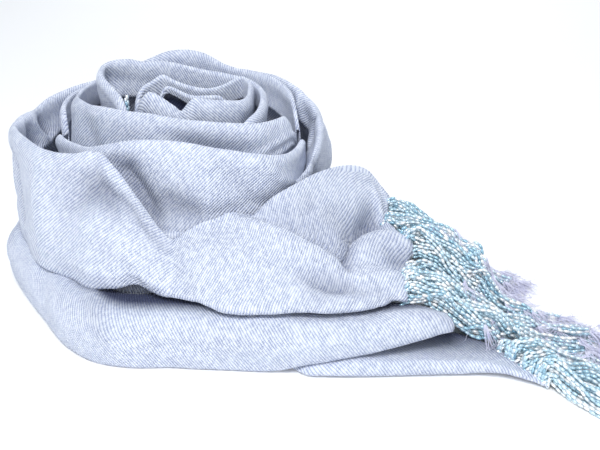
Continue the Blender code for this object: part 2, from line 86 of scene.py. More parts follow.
INNER = [
    (165, -101, -26, 99, STAND, 0, 0, 4, 10, 0),
    (135, -99, -15, 102, STAND, 1, 0, 4, 12, 0),
    (105, -92, -9, 105, STAND, 2, 1, 4, 14, 0),
    (95, -86, -8, 108.5, STAND, 2, 1, 4, 14, 0),
    (85, -78, -10, 106, STAND, 2, 1, 4, 14, 0),
    (80, -68, -13, 103.5, STAND, 2, 1, 4, 14, 0),
    (88, -56, -13, 102, STAND, 2, 1, 4, 14, 0),
    (80, -44, -9, 105, STAND, 2, 1, 4, 14, 0),
    (60, -36, -6, 107.5, STAND, 1, 1, 4, 14, 0),
    (10, -31, -14, 106, STAND, 1, 1, 4, 12, 0),
    (-20, -31, -28, 104, STAND, 1, 1, 4, 12, 0),
    (-60, -36, -42, 104, STAND, 8, 1, 4, 10, 0),
    (-85, -47, -47, 105.5, STAND, 13, 2, 4, 8, 0),
    (-92, -55, -48, 106.5, STAND, 13, 2, 4, 6, 0),
    (-95, -62, -48, 107, STAND, 13, 2, 3, 5, 0),
    (-95, -66, -48, 103, STAND, 13, 2, 3, 5, 0),
    (-95, -69, -48, 99.5, STAND, 13, 2, 3, 5, 0),
    (-100, -73, -47, 102, STAND, 12, 2, 3, 5, 0),
    (-105, -80, -45, 106.5, STAND, 10, 2, 4, 6, 0),
    (-110, -88, -43, 110.5, STAND, 7, 1, 4, 8, 0),
    (-118, -94, -40, 111, STAND, 1, 0, 4, 8, 0),
    (-130, -99, -36, 108, STAND, 1, 0, 4, 8, 0),
]

SECOND = [
    (235, -99, -47, 99, STAND, 1, 1, 4, 14, 0),
    (215, -110, -31, 105, STAND, 1, 1, 4, 16, 0),
    (190, -122.6, -13, 113, STAND, 1, 1, 4, 20, 2),
    (150, -121.6, -1, 114.5, STAND, 1, 1, 4, 22, 2),
    (115, -111, 8, 114, STAND, 2, 1, 4, 24, 1),
    (95, -97, 9, 112, STAND, 2, 1, 4, 24, 1),
    (95, -84, 12, 111, STAND, 2, 1, 4, 24, 0),
    (85, -66, 10, 108, STAND, 2, 1, 4, 20, 0),
    (80, -48, 5, 105.5, STAND, 2, 1, 4, 16, 0),
    (65, -33, 1, 103.5, STAND, 1, 1, 4, 14, 0),
    (20, -25, -11, 102, STAND, 1, 1, 4, 14, 0),
    (0, -23, -30, 100.5, STAND, 1, 1, 4, 14, 0),
    (-40, -28, -50, 98, STAND, 1, 1, 4, 10, 0),
    (-85, -42, -58, 94, STAND, 1, 0, 4, 8, 0),
]

THIRD = [
    (88, -58, 25.5, 97, STAND, 1, 1, 5, 16, 0),
    (105, -86, 28, 99, STAND, 1, 1, 5, 16, 0),
    (130, -113, 21, 101, STAND, 1, 1, 5, 16, 0),
    (155, -130, 3, 102, STAND, 2, 1, 5, 16, 0),
    (178, -134, -15, 103, STAND, 4, 1, 5, 16, 0),
    (202, -133.5, -31, 104, STAND, 6, 2, 5, 16, 0),
    (225, -125, -44, 104, STAND, 8, 2, 5, 14, 0),
    (243, -112, -54, 104, STAND, 9, 2, 5, 12, 0),
    (258, -97, -61.5, 104, STAND, 9, 2, 5, 10, 0),
    (266, -84, -65.5, 104, STAND, 9, 2, 5, 10, 0),
    (268, -70, -68, 103, STAND, 9, 2, 5, 10, 0),
    (270, -55, -71, 102, STAND, 8, 2, 5, 10, 0),
    (273, -39, -70.5, 101, STAND, 8, 2, 5, 10, 0),
    (284, -25, -68.5, 100, STAND, 6, 2, 5, 10, 0),
    (302, -16, -60.5, 99, STAND, 4, 1, 5, 12, 0),
    (322, -9, -50, 98, STAND, 1, 1, 5, 12, 0),
    (345, -5.5, -38, 96, STAND, 0, 0, 5, 12, 0),
]

FRONT = [
    (193, -143, -43, 87, STAND, 2, 0, 4, 12, 0),
    (213, -137.5, -61, 89, STAND, 3, 0, 4, 12, 0),
    (230, -126, -75, 90.5, STAND, 4, 0, 4, 12, 0),
    (247, -112, -88, 94, 48, 7, 1, 5, 12, 0),
    (257, -103, -91, 97, 46, 10, 1, 5, 12, 0),
    (264, -94, -90.5, 98.5, 44, 14, 1, 5, 12, 0),
    (268, -81, -91, 99, 44, 16, 2, 5, 12, 0),
    (270, -67, -92, 98, 46, 16, 2, 5, 12, 0),
    (270, -54, -92, 96, 49, 14, 2, 5, 12, 0),
    (271, -41, -90.5, 93, STAND, 8, 2, 5, 12, 0),
    (277, -21, -87, 88, STAND, 3, 1, 5, 12, 0),
    (293, -9, -76.5, 84.5, STAND, 1, 1, 5, 10, 0),
    (322, -2.5, -62, 82.5, STAND, 0, 1, 5, 10, 0),
    (345, 1, -48, 82, STAND, 0, 0, 5, 10, 0),
    (360, 2, -35, 81, STAND, 0, 0, 5, 10, 0),
]

BACK = [
    (205, -145, -24, 88, STAND, 2, 0, 4, 14, 0),
    (188, -149, -8, 90, STAND, 2, 0, 4, 14, 0),
    (165, -147, 8, 92, STAND, 2, 0, 4, 14, 0),
    (145, -137, 22, 94, STAND, 1, 1, 5, 16, 0),
    (122, -119, 33, 99, STAND, 0, 1, 5, 18, 0),
    (108, -101, 38, 106, STAND, 0, 1, 6, 22, 1),
    (95, -83, 41, 111, STAND, 0, 1, 6, 24, 1),
    (84, -66, 39, 109.5, STAND, 0, 1, 6, 22, 1),
    (72, -48, 33, 102, STAND, 0, 1, 6, 18, 0),
    (58, -32, 26, 101, STAND, 0, 1, 5, 18, 0),
    (42, -18, 14, 101, STAND, 0, 1, 5, 20, 2),
    (25, -9, 0, 99, STAND, 0, 1, 5, 20, 2),
    (12, -5, -14, 97, STAND, 0, 0, 5, 18, 0),
    (2, -1.5, -28, 95, STAND, 0, 0, 4, 14, 0),
]

WRAP_RIGHT = [
    (300, -2, -78, 69, STAND, 0, 1, 4, 7, 0),
    (318, 5, -68, 74, STAND, 1, 1, 4, 11, 4),
    (338, 9.5, -53, 79, STAND, 1, 2, 4, 16, 6),
    (352, 11.8, -37, 82, STAND, 0, 3, 4, 18, 7),
    (4, 11.8, -24, 84, STAND, 0, 3, 4, 20, 7),
    (12, 10.5, -12, 86, 22, 2, 3, 4, 20, 5),
    (24, 7, 2, 89, FLOOR_FOOT, 4, 4, 5, 20, 0),
    (42, -2, 16, 93, FLOOR_FOOT, 5, 4, 5, 20, 0),
    (58, -16, 30, 97, FLOOR_FOOT, 5, 4, 5, 20, 0),
    (76, -35, 42, 97, FLOOR_FOOT, 5, 4, 5, 18, 0),
    (90, -57.6, 52.5, 96, FLOOR_FOOT, 5, 4, 5, 16, 0),
]

WRAP_LEFT = [
    (185, -166.8, -48.7, 93, 33, 3.6, 0.5, 5, 21, 6),
    (178, -167.8, -30, 90, 33, 5, 1, 5, 22, 6),
    (170, -166.3, -12, 89, 33, 5, 2, 5, 22, 7),
    (158, -162, 6, 90, 30, 4, 2, 5, 22, 5),
    (143, -150, 24, 91, 14, 5, 3, 5, 20, 2),
    (128, -133, 38, 92, FLOOR_FOOT, 5, 4, 5, 20, 0),
    (113, -112, 48, 94, FLOOR_FOOT, 5, 4, 5, 20, 0),
    (98, -86, 54, 96, FLOOR_FOOT, 5, 4, 5, 18, 0),
    (90, -58.6, 52.8, 96, FLOOR_FOOT, 5, 4, 5, 16, 0),
]

TAIL_TOP = [
    (186, -166.2, -49.5, 93.5, 33, 3.5, 0, 5, 20, 6),
    (194, -164.3, -60, 96, 32, 4, 0, 5, 16, 2),
    (212, -153.5, -78, 97, 28.6, 6, 1, 5, 12, 2),
    (236, -139, -93.5, 95.5, 28.2, 12, 2, 5, 10, 1),
    (250, -119, -101.5, 95.5, 28.2, 17, 3, 5, 7, 0),
    (257, -104.5, -104.5, 97.5, 29.4, 26, 3, 5, 5, 0),
    (261, -96, -108.5, 88.5, 31.6, 25, 3, 4, 4, 0),
    (264, -83, -116, 73, 34.8, 18, 4, 4, 4, 0),
    (266, -74.3, -118.5, 59.5, 33, 18, 5, 4, 4, 0),
    (268, -69, -119.5, 53.8, 32, 20, 5, 4, 4, 0),
    (270, -61.7, -115.5, 55.5, 31.5, 28, 5, 4, 4, 0),
    (270, -54, -112, 58.5, 31.6, 34, 5, 4, 4, 0),
    (270, -36, -103.5, 61, 31.6, 53, 6, 4, 5, 0),
    (270, -18.5, -97, 66.5, 31.6, 60, 5, 4, 5, 0),
    (270, -5.5, -90.5, 71, 31.6, 66, 4, 5, 5, 0),
    (270, 11, -76, 73.5, 31.6, 81, 4, 5, 6, 1),
    (270, 20.5, -67, 72.5, 31.6, 89, 4, 6, 8, 2),
    (270, 26, -62, 71, 31.6, 93, 4, 6, 64, 36),
    (270, 35, -55, 67.5, 31.6, 98, 4, 6, 62, 32),
    (270, 42, -51.5, 63, 31.6, 99, 3, 6, 58, 30),
    (270, 48.5, -54, 57, 31.6, 92, 2, 6, 52, 32),
    (270, 56, -59, 50.5, 30, 85, 1, 6, 46, 34),
]

# Folds across the top of the tail: from a through m to b in plan, half their width, and
# how far they rise (or, below zero, sink).
FOLD = ("xa", "ya", "xm", "ym", "xb", "yb", "width", "rise")

TAIL_FOLDS = [
    (-40, -101, -6, -118, 24, -129, 6, 3.0),
    (-38, -96, -4, -109, 26, -120, 6, -6.0),
    (2, -134, 14, -137, 28, -138, 9, -2.5),
    (28, -104, 40, -88, 58, -76, 7, -9.0),
    (28, -112, 46, -102, 66, -104, 7, 4.0),
    (30, -124, 44, -120, 62, -120, 5, -4.0),
]

# How far the beaded hem of the top of the tail reaches to the right, from back to front.
TAIL_HEM = (("y", "x"), [(-20, 56), (-60, 54), (-82, 50), (-106, 67), (-122, 58), (-150, 56)])
HEM_EASE = 26.0  # the last stretch of the tail, which takes up the hem's waves

# Sections of the fold under it. x, y: the outermost line of its face; top, foot: heights;
# set_in: how far the shoulder stands back; run: how far the upper ply runs in under the top.
CUFF = ("facing", "x", "y", "top", "foot", "set_in", "run")

TAIL_MIDDLE = [
    (148, -169, 14, 24, FLOOR_FOOT, 5, 3),
    (166, -178, -12, 27, FLOOR_FOOT, 6, 3),
    (181, -181, -38, 28, FLOOR_FOOT, 7, 5),
    (200, -178.5, -64, 28, FLOOR_FOOT, 8, 12),
    (216, -165, -90, 28, FLOOR_FOOT, 9, 14),
    (228, -146, -117.5, 28, FLOOR_FOOT, 10, 16),
    (242, -124, -146, 28, FLOOR_FOOT, 11, 18),
    (257, -103, -160, 28, FLOOR_FOOT, 10, 20),
    (268, -62, -163, 28, FLOOR_FOOT, 8, 24),
    (270, -26, -165.5, 28, FLOOR_FOOT, 8, 24),
    (270, -8, -167, 28, 2.4, 8, 24),
    (270, 0, -168, 28, 5.0, 8, 24),
    (270, 12, -168, 28, 7.2, 8, 24),
    (270, 25, -167, 28.3, 9.6, 7, 22),
    (272, 51, -163.5, 28, 15, 6, 16),
    (276, 66, -160, 28, 17.8, 5, 10),
    (284, 78, -156.5, 26, 20.5, 3, 5),
]

# Sections of the lowest fold. x: its place along the tail; front, behind: the y of its
# folded edge and of its far edge; top: height of the upper ply; lift: height of the edge.
SLIP = ("x", "front", "behind", "top", "lift")

TAIL_BOTTOM = [
    (-11, -157, -148, 1.9, 0),
    (-6, -160, -146, 2.1, 0),
    (-2, -164.5, -144, 2.4, 0),
    (3, -168.5, -142, 3.9, 0),
    (12, -169.5, -140, 5.4, 0),
    (22, -170, -140, 6.9, 0),
    (41, -169.5, -140, 8.0, 0),
    (66, -168.5, -140, 8.6, 0),
    (82, -168.3, -141, 8.6, 0.6),
    (94, -168.8, -147, 8.2, 1.4),
    (104, -170.5, -155, 7.0, 1.8),
    (115, -175, -164, 5.0, 1.4),
    (124, -179.5, -173.5, 3.0, 0.6),
]

# Outline of the hidden layers about their eye: direction in degrees, and its reach at the
# table and at the top.
BED = (("angle", "low", "high"), [
    (0, 108, 62), (15, 98, 60), (30, 70, 62), (45, 78, 72), (60, 88, 80), (75, 92, 86),
    (90, 96, 90), (105, 98, 92), (120, 102, 95), (135, 104, 97), (150, 102, 97),
    (165, 101, 97), (180, 101, 98), (195, 95, 89), (210, 85, 76), (225, 82, 68),
    (240, 84, 58), (255, 84, 50), (270, 85, 46), (285, 84, 42), (300, 82, 42),
    (315, 90, 46), (330, 104, 56), (345, 112, 62),
])

# Sections of a mass of beaded fringe. x: its place; front, behind: its y limits; low, top:
# its heights.
MASS = ("x", "front", "behind", "low", "top")

FRINGE_UPPER = [
    (56.5, -78, -26, 1, 41),
    (82, -91.5, -36, 0.6, 31),
    (98, -102, -52, 0.4, 23),
    (116, -109, -68, 0.4, 16),
    (142, -115, -76, 0.4, 10),
    (172, -118, -78, 0.4, 5),
]

FRINGE_MIDDLE = [
    (67.4, -149, -85.2, 9.8, 30),
    (80, -151, -92.5, 9.8, 28),
    (97, -152, -103, 9.8, 23),
    (104, -153, -106, 9.4, 20),
    (113, -154, -109.5, 1, 17),
    (146, -161, -117, 0.5, 11),
    (180, -171, -120, 0.4, 5),
]

FRINGE_LOWER = [
    (124.6, -176, -160, 0.4, 7),
    (134, -188, -162.5, 0.4, 9),
    (150, -202, -167, 0.4, 9),
    (174, -218, -175, 0.4, 7),
    (202, -232, -190, 0.4, 4),
]

# The turns of the rosette, from its eye outwards
COIL = {
    "core": CORE,
    "inner": INNER,
    "second": SECOND,
    "third": THIRD,
    "front": FRONT,
    "back": BACK,
}
COIL_FACES = ("third", "front")  # turns whose outer face is in full view

# How finely the sections are read
FINE = 240  # steps in which a curve through a section's points is measured
STEP_ALONG = 2.0  # between one section of cloth and the next
TURN_PLY = 14  # points across an inner ply, up to the crest
TURN_FACE_TALL = 62  # points down the outermost turn's face
TURN_FACE_LOW = 34  # points down the face of a turn of the coil
CUFF_PLY = 14  # points across the plies and faces of the folds under the tail
CUFF_FACE = 26
SLIP_PLY = 18
SLIP_FACE = 14

# Shape of an upright turn's section
FOLD_SHARP = 0.5  # the cloth's own folded rims are this much narrower than the solids'
RIM_TURN = (0.85, 0.7)  # how far out and down the rim turns over, in half its width
PLY_TURN = (0.35, 0.55, 0.4)  # the inner ply's bend: its share of lean, hang and half width
FACE_BENDS = (  # places down the face: share of its height, of the foot's stand and the belly
    (0.33, 0.30, 0.8),
    (0.68, 0.66, 1.0),
)
FOOT_EASE = 0.4  # the face ends this far above the foot
FOOT_TURN = (1.0, 0.2)  # how far in and below the foot its edge turns under
UNDER_HEM = 8.0  # how far a foot's edge is turned under
END_REACH = 16.0  # a turn's ends sink between their neighbours over this length, and by
END_DROP = 0.34  # this share of their height

# Shape of the fold under the tail
CUFF_SINK = 0.4  # it lies this far below the tail's foot
CUFF_TURN = (2.0, 0.2)  # how far in and below its foot its edge turns under
CUFF_BENDS = (  # places up its face: share of its height, how far in, and share of its set-in
    (0.22, 0.2, 0),
    (0.5, 0, 0),
    (0.82, 0, 0.3),
)

# Shape of the lowest fold
SLIP_FLOOR = 0.5  # height of its lower ply
SLIP_FLANGE = (12, 3)  # how far in that ply ends, and where it begins to rise
SLIP_TURN = (0.8, 0.3)  # how far in its edge turns, and how far up towards the edge's middle
SLIP_SHOULDER = (2.5, 8)  # how far in the upper ply levels out, and where it lies flat

# Shape of the heap's folded layers
LAYER_START = -90.0  # degrees: each layer's ends meet behind the tail
LAYER_TURN = 2.4  # degrees from one section of a layer to the next
LAYER_EASE = 12  # rounds in which the corners of a layer's outline are eased
LAYER_STEP = 19.0  # above this height the layers draw in under the top of the tail
LAYER_DRAW = (6.0, 0.7)  # the height over which they do, and how much of it is done there
LAYER_SET_IN = 1.2  # they stay this far inside the heap's outline, and every other one
LAYER_STAGGER = 1.2  # lies this much further in
LAYER_WAVES = (1.1, 28, 60)  # waves of an edge in and out: height, size in degrees, seed
LAYER_SAG = (0.35, 40, 80)  # waves of an edge up and down
LAYER_GAP = 0.9  # between one layer and the next
LAYER_LID = 0.5  # the highest layer stays this far under the coil
LAYER_FLOOR = 0.35  # and the lowest this far above the table
LAYER_PLY = 26.0  # how far a layer's plies run in
LAYER_EYE = 3.0  # how near the heap's eye the highest layer's upper ply comes
LAYER_FLAT = 4.0  # how far in a layer's folded edge levels out
LAYER_ROUND = (0.9, 0.35)  # how far in and up its edge is rounded, up in shares of its height
LAYER_EDGE = 7  # points across a lower ply, up to its edge
LAYER_FACE = 9  # points across an upper ply, and across the highest one
LAYER_FACE_TOP = 44
LAYER_WRINKLE = 0.15

# Slopes of the twill's ribs above the cloth's length, in degrees
RIB_SLOPE = 50
CUFF_SLOPE = 56
SLIP_SLOPE = 52

# How a stretch of cloth is laid flat for its weave
FLAT_STRIDE = 3  # on every third point
FLAT_ROUNDS = 900
FLAT_PUSH = 0.115  # share of each stretch that one round takes up

# A crease runs from a to b, in millimetres along the stretch and down from its crest; bow is
# how far its middle is set aside; width is its half width; rise lifts it, or below zero sinks it.
CREASE = ("along_a", "down_a", "along_b", "down_b", "bow", "width", "rise")
CREASE_STEPS = 28  # points along a crease
CREASE_ENDS = (0.04, 0.96)  # a crease fades no further than it has at these shares of its length
CREASE_FADE = 0.6  # how slowly it fades: 1 is a plain sine
CREASE_STEEP = 2.2  # how sharply it rises
FOLD_STEPS = 25  # points along a fold
FOLD_ENDS = (0.12, 0.92)  # shares of a half wave at which a fold starts and ends

# Fine wrinkles: their sizes along and down the cloth, long ones and short ones, how high the
# short ones are beside the long ones, and the spread of calm cloth at a foot and at an edge.
WRINKLE_LONG = (34, 15)
WRINKLE_SHORT = (15, 9)
WRINKLE_SHARE = 0.5
CALM_FOOT = 8.0
CALM_EDGE = 4.0
CALM_LEAST = 0.3  # how much of the creases is left at an edge

# Seeds of the pieces' wrinkles; each turn and layer has its own from there on.
OUTER_SEED = 11
COIL_SEED = 20
CUFF_SEED = 41
SLIP_SEED = 43
LAYER_SEED = 90

OUTER_CREASES = [
    # the trough and the hollow under the tail's left shoulder
    (425, 33, 500, 6, -7, 8, -3.0),
    (425, 16, 462, 20, 3, 18, -2.4),
    (405, 10, 415, 60, 4, 9, 1.6),
    (440, 44, 510, 28, -3, 10, 2.2),
    # the sharp crease down from the hump, with a hollow behind it and one below it
    (535, 0, 641, 104, 0, 5, 2.6),
    (549, 1, 620, 70, 0, 7, -2.5),
    (582, 60, 636, 97, 2, 8.5, -4.0),
    (578, 8, 634, 62, 0, 16, -1.8),
    # the hump's trough and the valley that runs down from it
    (614, 52, 652, 19, 3, 7, -5.2),
    (620, 52, 615, 80, 0, 7, -3.6),
    (612, 78, 656, 72, 13, 5, 3.2),
    (640, 68, 668, 42, 3, 6, -3.2),
    (636, 8, 668, 30, 3, 7, 2.6),
    # soft bands down the face
    (508, 8, 520, 44, 3, 8, -1.6),
    (525, 20, 575, 66, -4, 9, 1.4),
    # the right and the back
    (20, 4, 34, 40, 3, 6, -3.2),
    (60, 3, 52, 50, -4, 7, 2.6),
    (95, 5, 120, 42, 4, 7, -3.4),
    (150, 4, 138, 60, -5, 8, 2.8),
    (190, 6, 215, 52, 5, 7, -3.6),
    (240, 4, 232, 70, -5, 9, 2.6),
    (285, 8, 305, 60, 5, 7, -3.4),
    (335, 5, 328, 66, -4, 8, 2.4),
    (372, 10, 385, 62, 4, 7, -3.0),
    # the folds inside the left and the right of the rim
    (338, -3, 322, -28, 2, 4.5, -3.4),
    (314, -4, 300, -34, 2, 5, -3.8),
    (326, -3, 312, -30, 2, 4, 2.4),
    (70, -3, 60, -26, 2, 5, -3.0),
    (100, -3, 92, -26, -2, 5, 2.6),
]
COIL_CREASES = {
    "front": [
        (71, 12, 92, 50, -3, 8.5, -6.0),
        (92, 28, 122, 38, 3, 12, -4.0),
        (84, 14, 92, 34, 2, 7, 1.6),
        (125, 6, 165, 34, 4, 9, -1.5),
        (150, 4, 185, 22, 3, 6, 1.6),
    ],
    "third": [
        (186, 10, 248, 16, 4, 9, -2.4),
        (232, 22, 290, 8, -3, 3, 1.8),
        (236, 27, 296, 14, -3, 3, 1.5),
        (136, 4, 150, 30, 3, 9, -2.0),
        (40, 5, 52, 30, 3, 7, -2.0),
        (90, 5, 82, 30, -3, 7, 1.5),
    ],
    "second": [
        (50, -4, 62, -20, 2, 6, 2.2),
        (74, 2, 84, 24, 3, 6, -2.2),
        (92, -3, 100, -20, 2, 7, -2.4),
        (120, 4, 112, 26, -3, 6, 1.8),
    ],
    "back": [
        (60, 5, 72, 34, 3, 7, -2.4),
        (110, 4, 100, 36, -3, 7, 2.0),
        (150, 5, 162, 34, 3, 7, -2.6),
    ],
    "inner": [
        (30, 3, 38, 18, 2, 6, -1.5),
        (70, 2, 64, 20, -2, 6, 1.4),
    ],
}
CUFF_CREASES = [
    (168, 12, 196, -18, 4, 7, -1.8),
    (196, -16, 226, -8, 2, 4, 1.2),
    (205, -20, 240, -15, 2, 4, 1.0),
    (120, 10, 150, -20, -4, 8, 1.4),
    (60, 8, 84, -18, 4, 8, -1.8),
    (20, 8, 36, -18, 3, 7, 1.6),
    (250, -10, 330, -4, 4, 10, -0.9),
    (335, 6, 372, -6, 2, 6, -1.6),
]
SLIP_CREASES = [
    (20, 4, 60, 1, 2, 5, -0.8),
    (80, 4, 130, 2, 2, 5, 0.8),
]

# The twill. Shares and heights are of one rib, and tones run at random from 0 to 1.
WEAVE_MAP = "weave"
WAVERS = (  # the ribs' slow waver and their quick one: scale per metre, and strength
    (150, 1.0),
    (1100, 0.7),
)
RIB_STAGGER = 0.41  # how far a rib's floats are shifted from the last one's
FLOAT_SLANT = 0.5  # how much the floats slant across their rib
GROOVE_SLOPE = -1.7  # how fast the groove between ribs fades out towards a rib's middle
GROOVE_TONE = (0.55, 0.45)  # a groove's depth of colour: what its tone gives, and the least
GAP_SLOPE = -2.6  # how fast the gap between floats fades out
GAP_TONE = 0.7  # how strong that gap is, at the most
RIB_CROWN = (0.82, 0.3)  # height at which a rib rounds off, and how softly
FLOAT_CROWN = (0.6, 0.3)
FLOAT_HEIGHT = (0.7, 0.45)  # a float's height: what its crown gives, and the least
TONE_HEIGHT = (0.5, 0.7)  # what its tone gives, and the least
TWILL_GLOSS = (-0.35, 0.78)  # roughness of the twill: what the tone takes off, and the most

# Painted shade: the cloth's colour is darkened in the depths of its folds and in its sunk creases
PAINTED_SHADE = "pocket"  # attribute: share of painted shade, from 0 to 1: how deep in a fold the cloth lies, or how far its crease sinks
PAINTED_SHADE_DEPTHS = {  # depth at which painted shade begins to darken each fold, and where it is darkest
    "outer_turn": (20, 46),
    "turn_core": (1, 10),
    "turn_inner": (9, 26),
    "turn_second": (22, 50),
    "turn_third": (8, 20),
    "turn_front": (10, 26),
    "turn_back": (22, 50),
    "under_fold": (4, 13),
    "slip_fold": (3, 22),
}
PAINTED_SHADE_USUAL = (7, 26)
HOLLOW_DEEP = 7.0  # depth of the sunk crease that gets the most painted shade
HOLLOW_PAINTED_SHADE = 0.5  # how much painted shade that is

# The beads
BEAD_SIDES = 6
BEAD_PROFILE = ((-0.5, 0.78), (0.0, 1.0), (0.5, 0.78))  # places along a bead, and its width there
BEAD_TONE = "bead_tone"  # attribute: each bead's own tone, from 0 to 1, whose top is a painted glint
# Colours along a bead's tone: random tones of the aqua glass, and at the top a painted glint in
# white
BEAD_COLOURS_AND_GLINT = (
    (0.0, (0.14, 0.30, 0.43, 1)),
    (0.25, (0.38, 0.61, 0.74, 1)),
    (0.55, (0.60, 0.79, 0.89, 1)),
    (0.8, (0.82, 0.92, 0.98, 1)),
    (0.97, (1.0, 1.0, 1.0, 1)),
)
BEAD_GLOSS = (0.2, 0.1)  # roughness of the beads: what the tone gives, and the least
STRAND_TONES = (0.35, 0.85)  # range of the strands' own tones
TONE_SPREAD = 0.13  # spread of a bead's tone about its strand's
PAINTED_GLINT_SHARE = 0.14  # share of beads painted white as a glint of their silver lining

# The strands
STRAND_STEP = 0.5  # between the points of a strand's line
STRAND_SPARE = 1.05  # its plan is laid out this much longer, for what its slope takes up
STRAND_LENGTHS = (0.5, 1.25)  # least and greatest length beside the mean
STRAND_DRIFT = 0.34  # spread of how far it drifts to a side, in half widths of its mass
STRAND_LANES = (-1.05, 1.05)  # where it may end, in the same
STRAND_SWING = 2.0  # spread of how far it swings about
STRAND_WAVES = (0.6, 1.6)  # how many swings it makes
SWING_ONSET = 0.2  # the swing is whole from this share of its length on
STRAND_EASE = 40  # rounds in which its bends are eased
STRAND_PAST = (-16.0, 2.0)  # it ends this far past its solid at the most
DROP_REACH = 18.0  # how far out a strand comes down to the table, and how much further for
DROP_SLOPE = 1.5  # each millimetre of its height at the hem
PILE_LOW = (40.0, -260.0)  # corners of the table's part that strands are piled on
PILE_HIGH = (230.0, 0.0)
PILE_CELL = 0.5
PILE_SPREAD = 2  # a point of cloth covers this many cells each way
CLOTH_LIFT = 0.4  # strands lie this far above the middle of the cloth under them

# The strands' roots
SLIP_HEM = ((103, -156, 6.5), (124, -178, 2.0))  # ends of the lowest fold's hem
SLIP_SCATTER = 0.4  # spread of the roots about it
ROOT_INSET = (0.5, 3.0)  # how far inside the hem's edge the roots lie
ROOT_UNDER = 1.5  # how far under its face the highest ones are
ROOT_LOWEST = 1.5  # height of the lowest root
ROOT_CROWD = 1.5  # how much the roots crowd towards the face: 1 is evenly
ROOT_SHUFFLE = 3.0  # how far from their heights' order the strands are laid

# Parts of the fringe: its mass, how many strands, their mean length and its spread, and where
# on the outer hem they are rooted: lowest y, highest y and how deep under the hem. The lowest
# part hangs on the lowest fold's hem instead.
FRINGES = (
    ("fringe_lower", FRINGE_LOWER, 46, 104, 24, None),
    ("fringe_middle", FRINGE_MIDDLE, 96, 94, 28, (-144, -86, 9)),
    ("fringe_upper", FRINGE_UPPER, 84, 76, 26, (-84, -23, 8)),
)

# The thread tufts
TUFT_THREADS = 12
TUFT_BACK = 6  # a tuft goes on the way that its strand took over its last few points
TUFT_POINTS = 9  # points along a thread
TUFT_FAN = 0.35  # spread of the threads' ways, in radians
TUFT_CURL = 0.09  # spread of how much they turn, in radians a millimetre
TUFT_REACH = (0.5, 1.2)  # their lengths beside the tuft's
TUFT_LIE = 0.3  # height of a lying thread above what it lies on
TUFT_LOFT = 2.0  # how high a thread may arch
THREAD_SIDES = 3
THREAD_RADIUS = 0.26
THREAD_TIP = 0.35  # width of a thread's end beside its root's
THREAD_MOTTLE = 260  # scale of the threads' mottled colour, per metre
THREAD_COLOURS = ((0.58, 0.60, 0.84, 1), (0.90, 0.89, 0.98, 1))

# Strands in the roll's eye: x, y, z of the top, and how far they lean.
EYE_STRANDS = (
    (-105.0, -24.5, 100.0, -0.5, -0.5),
    (-104.8, -27.0, 101.0, 0.4, -1.0),
    (-105.2, -29.5, 100.0, -0.4, 0.8),
    (-104.6, -31.0, 98.0, 0.2, 0.6),
)
EYE_HANG = 20.0  # how far they hang down
EYE_BELLY = (0.4, -0.8, 2.0)  # how far their middles are set aside
EYE_POINTS = 24

# Lamps: where each stands, the spot that it looks at, its size, and its power beside the key
# lamp's.
LAMPS = (
    ("key_lamp", (-0.16, -0.52, 0.94), (0, 0, 0.03), 0.4, 1.0),
    ("fill_lamp", (0.1, -0.95, 0.45), (0, 0, 0.06), 0.5, 0.3),
    ("back_lamp", (0.1, 1.1, 0.9), (0, 0.6, 0), 1.0, 0.9),
)
WORLD_COLOUR = (0.86, 0.92, 1.0, 1)
WORLD_STRENGTH = 0.48
VIEW_GAMMA = 0.92
VIEW_EXPOSURE = 0.1
FLOOR_SIZE = 12.0
SENSOR_WIDTH = 36  # of the camera, in millimetres
CLIP_START = 0.01


def run_of(points):
    """Distance of each point of a line from its start, along the line."""
    steps = np.hypot.reduce(np.diff(points, axis=0), axis=1)
    return np.concatenate([[0], np.cumsum(steps)])


def read_at(points, at, wanted):
    """Points read from a line, whose points lie at distances at, at the wanted ones."""
    return np.column_stack([np.interp(wanted, at, column) for column in points.T])


def plan_length(rows):
    """Length of a table's line in plan."""
    return float(run_of(np.array(rows, float)[:, 1:3])[-1])


def between(rows, count):
    """Rows of a table read at count even steps of its length, on smooth curves through them
    that keep within the table's own least and greatest values."""
    table = np.array(rows, float)
    at = run_of(table[:, 1:3])
    slopes = np.gradient(table, at, axis=0)
    wanted = np.linspace(0, at[-1], count)
    low = np.clip(np.searchsorted(at, wanted, "right") - 1, 0, len(at) - 2)
    span = (at[low + 1] - at[low])[:, None]
    t = (wanted - at[low])[:, None] / span
    curve = (
        (2 * t**3 - 3 * t**2 + 1) * table[low]
        + (t**3 - 2 * t**2 + t) * span * slopes[low]
        + (3 * t**2 - 2 * t**3) * table[low + 1]
        + (t**3 - t**2) * span * slopes[low + 1]
    )
    return np.clip(curve, table.min(axis=0), table.max(axis=0))


def bend(start, middle, end, t):
    """Points of a curve from start to end, drawn towards a middle, at shares t of its way."""
    return (1 - t) ** 2 * start + 2 * t * (1 - t) * middle + t**2 * end


def along_section(points, crest, inside, outside):
    """A smooth curve through a section's few points: inside points up to its crest, which is
    one of them, and outside points from there on, each lot evenly spaced."""
    points = np.array(points, float)
    numbered = np.column_stack([np.zeros(len(points)), points])
    fine = between(numbered, FINE)[:, 1:]
    at = run_of(fine)
    top = at[np.hypot(*(fine - points[crest]).T).argmin()]
    before = np.linspace(0, top, inside)[:-1]
    after = np.linspace(top, at[-1], outside)
    return read_at(fine, at, np.concatenate([before, after]))


